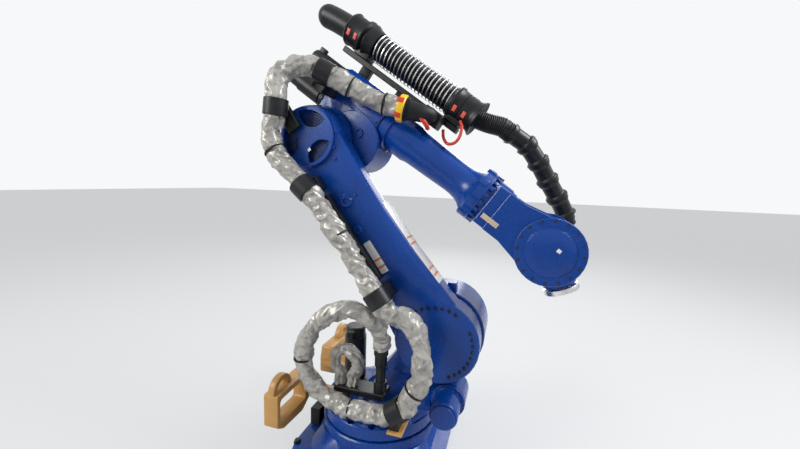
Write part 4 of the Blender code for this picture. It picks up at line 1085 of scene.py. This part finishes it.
class Fasteners:
    """Every ring and row of screws."""

    UP_THE_ARM = (-0.565, 0.825)
    TURNTABLE_TOP = 0.204
    FOOT_TOP = 0.035
    DRIVE_X = 0.40
    DRIVE_Z = 0.37

    def shoulder(self) -> None:
        """The sunk screws of the big disc on the shoulder axis."""
        def lift(point: Vector) -> float:
            """How far the arm's flaring face stands over the disc at a screw."""
            world = facing((0, SHOULDER_FACE_Y, 0), NEAR) @ point
            height = Vector((world.x, world.z)).dot(Vector(self.UP_THE_ARM))
            return max(0.0, ARM_FACE_SLOPE * height - 0.007) + 0.0004

        angles = [148 - 11 * k for k in range(9)] + [24 - 10 * k for k in range(10)]
        where = Matrix.Translation((SHOULDER[0], SHOULDER_FACE_Y, SHOULDER[2])) @ spin(90, "X")
        ScrewRing("shoulder_screws", "lower_arm", where, 0.172, angles, 0.85, lift=lift).build()

    def build(self) -> None:
        """Make all the screws."""
        self.shoulder()
        near = spin(90, "X")
        for side, name in ((-1, "near"), (1, "far")):
            face = facing((FOREARM_REACH, side * 0.1473, 0), (0, side, 0), Place.ROLL)
            ScrewRing(f"wrist_cover_screws_{name}", "forearm", face, 0.137, every(16, 8), 0.75,
                      Head.SUNK).build()
        ring = Matrix.Translation((0, 0, self.TURNTABLE_TOP))
        ScrewRing("turntable_screws", "head", ring, 0.283, every(16, 11.25), 1.25,
                  finish=BLUE_SCREW).build()
        corners = [45 + 90 * k + d for k in range(4) for d in (-9, 9)]
        foot = Matrix.Translation((0, 0, self.FOOT_TOP))
        ScrewRing("foot_bolts", "base", foot, 0.455, corners, 1.5, Head.HEX).build()
        drive = Matrix.Translation((self.DRIVE_X, -0.1563, self.DRIVE_Z)) @ near
        ScrewRing("drive_flange_screws", "head", drive, 0.0755, every(8, 10), 0.55,
                  finish=BLUE_SCREW).build()
        cap = Matrix.Translation((self.DRIVE_X, -0.2923, self.DRIVE_Z)) @ near
        ScrewRing("drive_cap_screws", "head", cap, 0.047, every(6, 15), 0.45, Head.SUNK, BLUE_SCREW).build()
        rim_screws("elbow_rim_screws", "elbow", 0.188, 0.122, every(16, 7), 0.5)
        boss = facing((0, BOSS_FACE_Y, ARM_LENGTH), NEAR, Place.ARM)
        angles = (10, 70, 100, 130, 190, 220, 250, 310)
        ScrewRing("boss_screws", "lower_arm", boss, 0.132, angles, 0.4, Head.SUNK, BLUE_SCREW).build()


class Trim:
    """Blank strips, the boss grille, cable ties, gland inserts, cast bosses and small plates."""

    def plate(self, name: str, finish: Finish, body: str, where: Matrix, size: tuple[float, float],
              thick: float = 0.0008) -> None:
        """A thin blank plate that lies on a face.

        Args:
            name: The piece's name.
            finish: Its finish.
            body: The body that carries it.
            where: The frame of its middle, +Z out of the face.
            size: Its width and height.
            thick: How thick it is.
        """
        bm = bmesh.new()
        block(bm, (-size[0] / 2, -size[1] / 2, 0.0001), (size[0] / 2, size[1] / 2, thick), where, 0.0003)
        new_piece(bm, name, finish, body)

    def front_strip(self) -> None:
        """The long strip down the arm's front face, with orange bands."""
        stations = ((0.22, 0.165), (0.42, 0.142), (0.68, 0.126), (0.84, 0.128))

        def front(z: float) -> float:
            """How far the arm's front face stands out at a height."""
            for (z0, x0), (z1, x1) in zip(stations, stations[1:]):
                if z <= z1:
                    return x0 + (x1 - x0) * (z - z0) / (z1 - z0)
            return stations[-1][1]

        def ribbon(name: str, finish: Finish, low: float, high: float, wide: tuple[float, float],
                   lift: float) -> None:
            """One ribbon on the front face between two heights."""
            bm = bmesh.new()
            count = max(2, int((high - low) / 0.03))
            rings = []
            for k in range(count + 1):
                z = low + (high - low) * k / count
                x = front(z) + lift
                corners = [(x - 0.003, wide[0], z), (x, wide[0], z), (x, wide[1], z), (x - 0.003, wide[1], z)]
                rings.append(add_ring(bm, moved(corners, Place.ARM)))
            skin_rings(bm, rings)
            new_piece(bm, name, finish, "lower_arm")

        ribbon("front_strip", WHITE, 0.235, 0.70, (-0.190, -0.085), 0.0012)
        for k, z in enumerate((0.272, 0.309, 0.452, 0.487)):
            ribbon(f"front_band_{k}", ORANGE, z, z + 0.011, (-0.180, -0.095), 0.0018)

    def near_strip(self) -> None:
        """The short strip on the arm's near face beside the rail."""
        turn = Matrix.Rotation(math.atan(ARM_FACE_SLOPE), 4, "X")
        low, high = 0.405, 0.575
        for name, finish, z0, z1, lift in (("near_strip", WHITE, low, high, 0.0),
                                           ("near_band_0", ORANGE, low + 0.028, low + 0.038, 0.0006),
                                           ("near_band_1", ORANGE, low + 0.066, low + 0.076, 0.0006)):
            z = (z0 + z1) / 2
            at = Vector((-0.029, arm_face_y(z) - lift, z))
            where = Place.ARM @ Matrix.Translation(at) @ turn @ spin(90, "X")
            self.plate(name, finish, "lower_arm", where, (0.040, z1 - z0))

    def grille(self) -> None:
        """The perforated screen behind the boss windows: a blue plate with a honeycomb of black discs,
        painted shade for the dark inside of its holes.
        """
        bm, holes = bmesh.new(), bmesh.new()
        face = facing((0, -0.2525, ARM_LENGTH), NEAR, Place.ARM)
        lathe(bm, ((-0.003, 0.128), (0.0, 0.128)), face, 48)
        pitch = 0.0135
        for row in range(-9, 10):
            for column in range(-9, 10):
                x = pitch * (column + 0.5 * (row % 2))
                y = pitch * row * 0.866
                if math.hypot(x, y) < 0.122:
                    spot = face @ Matrix.Translation((x, y, 0))
                    # Each hole is a thin black disc on the face: painted shade in place of a cut hole.
                    lathe(holes, ((-0.001, 0.0052), (0.0004, 0.0052)), spot, 10)
        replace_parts(new_piece(bm, "boss_grille", BLUE, "lower_arm"), "boss_screen")
        new_piece(holes, "boss_grille_hole_shade", RUBBER, "lower_arm")

    def ties(self) -> None:
        """Black cable ties pulled round the sleeves."""
        spots = (
            ("tie_loop_left", "head", Place.WORLD, (-0.03, -0.345, 0.352), (1, 0, 0), 0.0455),
            ("tie_loop_side", "head", Place.WORLD, (-0.286, -0.345, 0.56), (0, 0, 1), 0.0455),
            ("tie_loop_right", "head", Place.WORLD, (0.284, -0.36, 0.52), (0.045, 0, 0.075), 0.0515),
            ("tie_arm", "lower_arm", Place.ARM, (-0.070, -0.36, 0.655), (0, 0, 1), 0.0515),
            ("tie_boss", "lower_arm", Place.ARM, (-0.134, -0.36, 1.15), (0, 0, 1), 0.0515),
            ("tie_gland", "elbow", Place.ROLL, (0.19, -0.162, 0.083), GLAND_WAY, 0.0505),
            ("tie_elbow", "elbow", Place.ROLL, (0.02, -0.202, 0.049), (0.08, 0.025, 0.01), 0.0515),
        )
        for name, body, where, at, way, radius in spots:
            bm = bmesh.new()
            spot = where @ axis_frame(Vector(at), Vector(way))
            inner = radius - 0.004
            band = ((-0.0035, inner), (-0.0035, radius), (0.0035, radius), (0.0035, inner))
            lathe(bm, band, spot, 36)
            block(bm, (radius - 0.002, -0.004, -0.005), (radius + 0.005, 0.004, 0.005), spot, 0.001)
            new_piece(bm, name, RUBBER, body)

    def gland(self) -> None:
        """Red inserts on the yellow gland's near side, and the black ring behind it."""
        face = Place.ROLL @ axis_frame(Vector(GLAND_AT), Vector(GLAND_WAY))
        bm = bmesh.new()
        for angle in (150, 215, 290):
            spot = face @ spin(angle, "Z")
            block(bm, (0.050, -0.012, -0.0185), (0.0655, 0.012, 0.011), spot, 0.002)
        new_piece(bm, "gland_inserts", RED, "elbow")
        ring = bmesh.new()
        steps = ((0.0175, 0.035), (0.0175, 0.056), (0.026, 0.056), (0.026, 0.049), (0.034, 0.049),
                 (0.034, 0.035))
        lathe(ring, steps, face, 36)
        new_piece(ring, "gland_backing_ring", RUBBER, "elbow")
        collar = bmesh.new()
        way = Vector(GLAND_WAY).normalized()
        front = Vector(GLAND_AT) + way * 0.0173
        route = [front, front + way * 0.014, front + way * 0.02] + [Vector(p) for p in (
            (0.352, -0.130, 0.147), (0.376, -0.107, 0.160), (0.38, -0.0903, 0.162), (0.38, -0.0803, 0.162))]
        path = catmull([Place.ROLL @ p for p in route], 60)
        whole = path_length(path)
        sweep(collar, path, lambda run, angle: 0.047 - 0.011 * min(1.0, run / whole), 36)
        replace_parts(new_piece(collar, "gland_boot", RUBBER, "elbow", smooth=60), "gland_collar")

    def bosses(self) -> None:
        """The cast bosses with sockets on the arm's near face, and the bolts round the boss."""
        for name, at, radius in (("rail_boss_high", (-0.004, 0.79), 0.030),
                                 ("rail_boss_low", (-0.030, 0.645), 0.020)):
            bm = bmesh.new()
            face = facing((at[0], arm_face_y(at[1]), at[1]), ARM_FACE_WAY, Place.ARM)
            lathe(bm, ((-0.004, radius * 1.25), (0.003, radius * 1.12), (0.010, radius),
                       (0.013, radius * 0.93), (0.013, radius * 0.45), (0.004, radius * 0.42)), face, 36)
            new_piece(bm, name, BLUE, "lower_arm")
        bm = bmesh.new()
        for x, z in ((0.112, 1.10), (0.086, 1.03), (0.060, 0.985), (0.051, 0.794)):
            y = arm_face_y(min(z, ARM_FLARE_TOP)) - 0.001
            face = facing((x, y, z), ARM_FACE_WAY, Place.ARM)
            lathe(bm, HEX_HEAD, face @ Matrix.Scale(0.8, 4), 24, 0)
        new_piece(bm, "arm_face_bolts", BLUE_SCREW, "lower_arm")

    def build(self) -> None:
        """Make all the trim."""
        self.front_strip()
        self.near_strip()
        self.grille()
        self.ties()
        self.gland()
        self.bosses()
        self.plate("wrist_badge_blank", WHITE, "forearm",
                   facing((FOREARM_REACH + 0.02, -0.1613, 0.03), NEAR, Place.ROLL), (0.018, 0.016))
        plate = Matrix.Translation((0.905, -0.1352, -0.050)) @ spin(90, "X")
        self.plate("fork_plate_blank", TAN, "forearm", Place.ROLL @ plate, (0.088, 0.024), 0.002)
        self.plate("boss_plate_blank", WHITE, "lower_arm",
                   facing((-0.02, BOSS_FACE_Y, ARM_LENGTH - 0.06), NEAR, Place.ARM), (0.016, 0.014))


# Fork pockets and wrist


def outline_solid(bm: Mesh, loops: Sequence[Profile], thick: float, edge: float, where: Matrix) -> None:
    """Extrude a flat outline with holes, with rounded edges, and add it to a mesh.

    Args:
        bm: The mesh.
        loops: The outline first, then its holes, as (across, up) pairs.
        thick: How thick the solid is, half to each side of the frame's plane.
        edge: The width of its rounded edges.
        where: The frame: +X across, +Y up, +Z out.
    """
    curve = bpy.data.curves.new("outline", "CURVE")
    curve.dimensions = "2D"
    curve.fill_mode = "BOTH"
    curve.extrude = thick / 2 - edge
    curve.bevel_depth = edge
    curve.bevel_resolution = 1
    curve.offset = -edge
    for loop in loops:
        spline = curve.splines.new("POLY")
        spline.points.add(len(loop) - 1)
        for point, (x, y) in zip(spline.points, loop):
            point.co = (x, y, 0, 1)
        spline.use_cyclic_u = True
    holder = bpy.data.objects.new("outline", curve)
    bpy.context.scene.collection.objects.link(holder)
    data = bpy.data.meshes.new_from_object(holder)
    data.transform(where)
    bm.from_mesh(data)
    bpy.data.objects.remove(holder)
    bpy.data.meshes.remove(data)


def circle(at: tuple[float, float], radius: float, count: int = 32, low: float = 0.0,
           high: float = 360.0) -> list[tuple[float, float]]:
    """Points on a circle or an arc of it.

    Args:
        at: Its centre.
        radius: Its radius.
        count: How many points.
        low: Where it starts, in degrees.
        high: Where it ends; a full circle leaves out the last point.

    Returns:
        The points.
    """
    last = count if high - low >= 360 else count - 1
    angles = [math.radians(low + (high - low) * k / last) for k in range(count)]
    return [(at[0] + radius * math.cos(a), at[1] + radius * math.sin(a)) for a in angles]


def rounded(corners: Profile, radius: float) -> list[tuple[float, float]]:
    """A polygon with rounded corners.

    Args:
        corners: Its corners.
        radius: How far each corner is cut back.

    Returns:
        The points.
    """
    points = []
    for k, corner in enumerate(corners):
        here = Vector(corner)
        before = here + (Vector(corners[k - 1]) - here).normalized() * radius
        after = here + (Vector(corners[(k + 1) % len(corners)]) - here).normalized() * radius
        for t in (0.0, 0.33, 0.67, 1.0):
            point = before * (1 - t) ** 2 + here * 2 * t * (1 - t) + after * t ** 2
            points.append((point.x, point.y))
    return points


@dataclass
class ForkPocket:
    """A cast pocket for a lift truck's fork, with its lifting arch and its arm.

    Args:
        side: -1 for the near one, 1 for the far one.
        name: The CAD node's name.
    """

    side: int
    name: str

    PLANE_X = -0.42
    OUTLINE = ((0.42, 0.21), (0.37, 0.18), (0.20, 0.17), (0.125, 0.215), (0.125, 0.30), (0.145, 0.375),
               (0.42, 0.375))
    SLOT = ((0.17, 0.225), (0.395, 0.225), (0.395, 0.345), (0.17, 0.345))
    THICK = 0.08
    PIN_AT = (0.15, 0.2485)
    PIN_RADIUS = 0.014
    ARCH_AT = (0.345, 0.373)
    ARCH_RADII = (0.075, 0.047)
    ARCH_THICK = 0.036
    ARM_MIDDLE = (-0.305, 0.1275, 0.275)
    ARM_HALF = (0.14, 0.0225, 0.015)
    EDGE = 0.004

    def build(self) -> None:
        """Make the pocket."""
        across = Matrix(((0, 0, 1, 0), (self.side, 0, 0, 0), (0, 1, 0, 0), (0, 0, 0, 1)))
        where = Matrix.Translation((self.PLANE_X, 0, 0)) @ across
        bm = bmesh.new()
        pin = circle(self.PIN_AT, self.PIN_RADIUS)
        loops = [rounded(self.OUTLINE, 0.012), rounded(self.SLOT, 0.022), pin]
        outline_solid(bm, loops, self.THICK, self.EDGE, where)
        outer, inner = self.ARCH_RADII
        arch = circle(self.ARCH_AT, outer, 24, 0, 180) + circle(self.ARCH_AT, inner, 20, 0, 180)[::-1]
        outline_solid(bm, [arch], self.ARCH_THICK, self.EDGE, where)
        middle = Vector((self.ARM_MIDDLE[0], self.side * self.ARM_MIDDLE[1], self.ARM_MIDDLE[2]))
        half = Vector(self.ARM_HALF)
        block(bm, tuple(middle - half), tuple(middle + half), Place.WORLD, 0.003)
        piece = new_piece(bm, f"{self.name}_cast", OCHRE, "head", smooth=32)
        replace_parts(piece, self.name)


def lugs(bm: Mesh, angles: Sequence[float], low: Point, high: Point, edge: float) -> None:
    """Add equal blocks round the roll axis to a mesh.

    Args:
        bm: The mesh.
        angles: Each block's angle, in degrees.
        low: The lowest corner of the block at no angle.
        high: Its highest corner.
        edge: The width of its bevels.
    """
    for angle in angles:
        block(bm, low, high, Place.ROLL @ spin(angle, "X"), edge)


@dataclass
class WristFork:
    """The flanged fork in front of the forearm tube, with bolt pockets, cheeks and a round housing.

    Args:
        half_width: Half the fork's width.
        slot_half: Half the slot's width.
        cheek_radius: The radius of the cheeks round the bend axis.
    """

    half_width: float = 0.135
    slot_half: float = 0.086
    cheek_radius: float = 0.142

    TUBE = ((0.2055, 0.100), (0.2055, 0.112), (0.252, 0.112), (0.256, 0.101), (0.36, 0.101),
            (0.385, 0.0945), (0.40, 0.0925), (0.50, 0.088), (0.64, 0.0815), (0.67, 0.0825),
            (0.70, 0.087), (0.725, 0.096), (0.745, 0.110), (0.757, 0.122), (0.764, 0.130),
            (0.80, 0.131), (0.80, 0.09))
    FLANGE = ((0.8003, 0.06), (0.8003, 0.131), (0.812, 0.131), (0.812, 0.118), (0.834, 0.117),
              (0.905, 0.115), (0.915, 0.108), (0.93, 0.1075), (0.94, 0.098), (0.945, 0.05))
    ROOT = ((0.845, 0.100), (0.845, -0.100), (0.955, -0.100), (0.955, 0.100))
    ROOT_INSET = 0.016
    CLEARANCE = 0.001

    def tube(self) -> None:
        """The forearm's cast tube, with its trumpet flare."""
        bm = bmesh.new()
        lathe(bm, self.TUBE, Place.ROLL @ spin(90, "Y"), 72)
        lugs(bm, every(8, 12), (0.752, -0.017, 0.116), (0.797, 0.017, 0.1345), 0.003)
        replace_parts(new_piece(bm, "forearm_casting", BLUE, "forearm", smooth=30), "forearm_tube")

    def build(self) -> None:
        """Make the fork and the tube."""
        self.tube()
        where = Place.ROLL @ Matrix(((1, 0, 0, 0), (0, 0, -1, 0), (0, 1, 0, 0), (0, 0, 0, 1)))
        bm = bmesh.new()
        lathe(bm, self.FLANGE, Place.ROLL @ spin(90, "Y"), 72)
        lugs(bm, every(20, 5), (0.8125, -0.009, 0.112), (0.8315, 0.009, 0.1295), 0.002)
        root = rounded(self.ROOT, 0.01)
        outline_solid(bm, [root], 2 * self.half_width - self.ROOT_INSET, 0.005, where)
        nose = circle((FOREARM_REACH, 0), self.cheek_radius, 40, -112, 112)
        cheek = [(0.90, 0.101), (0.90, -0.101), (0.99, -0.101)] + nose + [(0.99, 0.101)]
        thick = self.half_width - self.slot_half - self.CLEARANCE
        for side in (-1, 1):
            middle = side * (self.slot_half + self.CLEARANCE + thick / 2)
            outline_solid(bm, [cheek], thick, 0.004, where @ Matrix.Translation((0, 0, -middle)))
        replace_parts(new_piece(bm, "wrist_fork_casting", BLUE, "forearm", smooth=30), "wrist_fork")
        rim_screws("fork_flange_screws", "forearm", 0.836, 0.127, every(20, 14), 0.45)
        self.nose_screws()

    def nose_screws(self) -> None:
        """The bolt heads where the round housing meets the cheeks."""
        bm = bmesh.new()
        for angle in [150 + 12 * k for k in range(6)] + [-35 + 14 * k for k in range(6)]:
            at = Vector((0.906, 0, 0)) + outward(angle) * 0.109
            spot = facing(tuple(at), (1, 0, 0), Place.ROLL) @ Matrix.Scale(0.8, 4)
            lathe(bm, HEX_HEAD, spot, 24, 0)
        new_piece(bm, "fork_housing_bolts", BLUE_SCREW, "forearm")


# Studio


def mixed(tree: bpy.types.NodeTree, nodes: Sequence[bpy.types.Node], end: bpy.types.Node) -> None:
    """Mix two shaders and join the result to an output node.

    Args:
        tree: The node tree.
        nodes: The node that gives the second shader's share, then the two shaders.
        end: The output node.
    """
    mix = tree.nodes.new("ShaderNodeMixShader")
    for slot, node in enumerate(nodes):
        tree.links.new(node.outputs[0], mix.inputs[slot])
    tree.links.new(mix.outputs[0], end.inputs[0])


@dataclass
class Studio:
    """Floor, light and camera.

    Args:
        camera_at: Where the photograph was taken from.
        yaw: The camera's turn to the left, in radians.
        pitch: How far it looks down.
        roll: How far it leans.
        focal_px: Its focal length, in pixels.
        frame_px: The photograph's width, in pixels.
    """

    SENSOR_MM = 36

    camera_at: Point = (0.6343, -1.7963, 1.4342)
    yaw: float = 0.300
    pitch: float = 0.1219
    roll: float = 0.0337
    focal_px: float = 359.21
    frame_px: float = 800.0

    def floor(self) -> None:
        """A plain pale floor."""
        bm = bmesh.new()
        bmesh.ops.create_grid(bm, x_segments=1, y_segments=1, size=30)
        data = bpy.data.meshes.new("floor")
        bm.to_mesh(data)
        bm.free()
        piece = bpy.data.objects.new("floor", data)
        bpy.context.scene.collection.objects.link(piece)
        made = bpy.data.materials.new("pale_floor")
        made.use_nodes = True
        tree = made.node_tree
        shader = tree.nodes["Principled BSDF"]
        shader.inputs["Base Color"].default_value = (0.62, 0.63, 0.64, 1)
        shader.inputs["Roughness"].default_value = 0.7
        plain = tree.nodes.new("ShaderNodeEmission")
        plain.inputs["Color"].default_value = (0.80, 0.81, 0.82, 1)
        seen = tree.nodes.new("ShaderNodeMath")
        seen.operation = "MULTIPLY"
        seen.inputs[1].default_value = 0.6
        tree.links.new(tree.nodes.new("ShaderNodeLightPath").outputs["Is Camera Ray"], seen.inputs[0])
        mixed(tree, (seen, shader, plain), tree.nodes["Material Output"])
        data.materials.append(made)

    def world(self) -> None:
        """A soft grey surround that shows as white behind the object."""
        world = bpy.data.worlds.new("studio")
        world.use_nodes = True
        tree = world.node_tree
        back = tree.nodes["Background"]
        back.inputs[0].default_value = (0.86, 0.88, 0.92, 1)
        back.inputs[1].default_value = 0.42
        seen = tree.nodes.new("ShaderNodeBackground")
        seen.inputs[0].default_value = (0.93, 0.94, 0.95, 1)
        seen.inputs[1].default_value = 1.0
        path = tree.nodes.new("ShaderNodeLightPath")
        shown = path
        for other in ("Is Glossy Ray", "Is Transmission Ray"):
            either = tree.nodes.new("ShaderNodeMath")
            either.operation = "MAXIMUM"
            tree.links.new(shown.outputs[0], either.inputs[0])
            tree.links.new(path.outputs[other], either.inputs[1])
            shown = either
        mixed(tree, (shown, back, seen), tree.nodes["World Output"])
        bpy.context.scene.world = world

    def lamp(self, name: str, at: Point, size: float, power: float, colour: Point = (1, 1, 1)) -> None:
        """A square soft lamp aimed at the robot's middle.

        Args:
            name: The lamp's name.
            at: Its place.
            size: Its side.
            power: Its power, in watts.
            colour: Its colour.
        """
        data = bpy.data.lights.new(name, "AREA")
        data.size = size
        data.energy = power
        data.color = colour
        lamp = bpy.data.objects.new(name, data)
        lamp.matrix_world = axis_frame(Vector(at), Vector(at) - Vector((0.2, 0, 1.1)))
        bpy.context.scene.collection.objects.link(lamp)

    def camera(self) -> None:
        """The camera where the photograph was taken."""
        flat = math.cos(self.pitch)
        forward = Vector((-math.sin(self.yaw) * flat, math.cos(self.yaw) * flat, -math.sin(self.pitch)))
        level = Vector((math.cos(self.yaw), math.sin(self.yaw), 0))
        up = level.cross(forward)
        right = level * math.cos(self.roll) + up * math.sin(self.roll)
        over = -level * math.sin(self.roll) + up * math.cos(self.roll)
        data = bpy.data.cameras.new("camera")
        data.sensor_width = self.SENSOR_MM
        data.lens = self.SENSOR_MM * self.focal_px / self.frame_px
        camera = bpy.data.objects.new("camera", data)
        turn = Matrix((right, over, -forward)).transposed().to_4x4()
        camera.matrix_world = Matrix.Translation(self.camera_at) @ turn
        bpy.context.scene.collection.objects.link(camera)
        bpy.context.scene.camera = camera

    def build(self) -> None:
        """Set the stage."""
        self.camera()
        self.floor()
        self.world()
        self.lamp("window_left", (-3.2, -3.4, 3.6), 2.2, 190, (1.0, 0.99, 0.97))
        self.lamp("window_right", (3.9, 0.6, 4.2), 2.2, 250, (0.97, 0.985, 1.0))
        self.lamp("back_fill", (-0.5, 4.5, 3.5), 3.0, 120)
        bpy.context.scene.view_settings.view_transform = "Standard"


def main() -> None:
    """Build the scene, piece by piece."""
    logging.basicConfig(level=logging.INFO, format="%(message)s")
    Studio().build()
    for build_group in (enamel_group, cloth_group, moulded_group, metal_group):
        build_group()
    parts = (Bodywork(), HoseRun.at_rest(), DressPack(), ForkPocket(-1, "fork_pocket_near"),
             ForkPocket(1, "fork_pocket_far"), WristFork(), Fasteners(), Trim())
    for part in parts:
        part.build()
        log.info("finished %s", type(part).__name__)


if __name__ == "__main__":
    main()
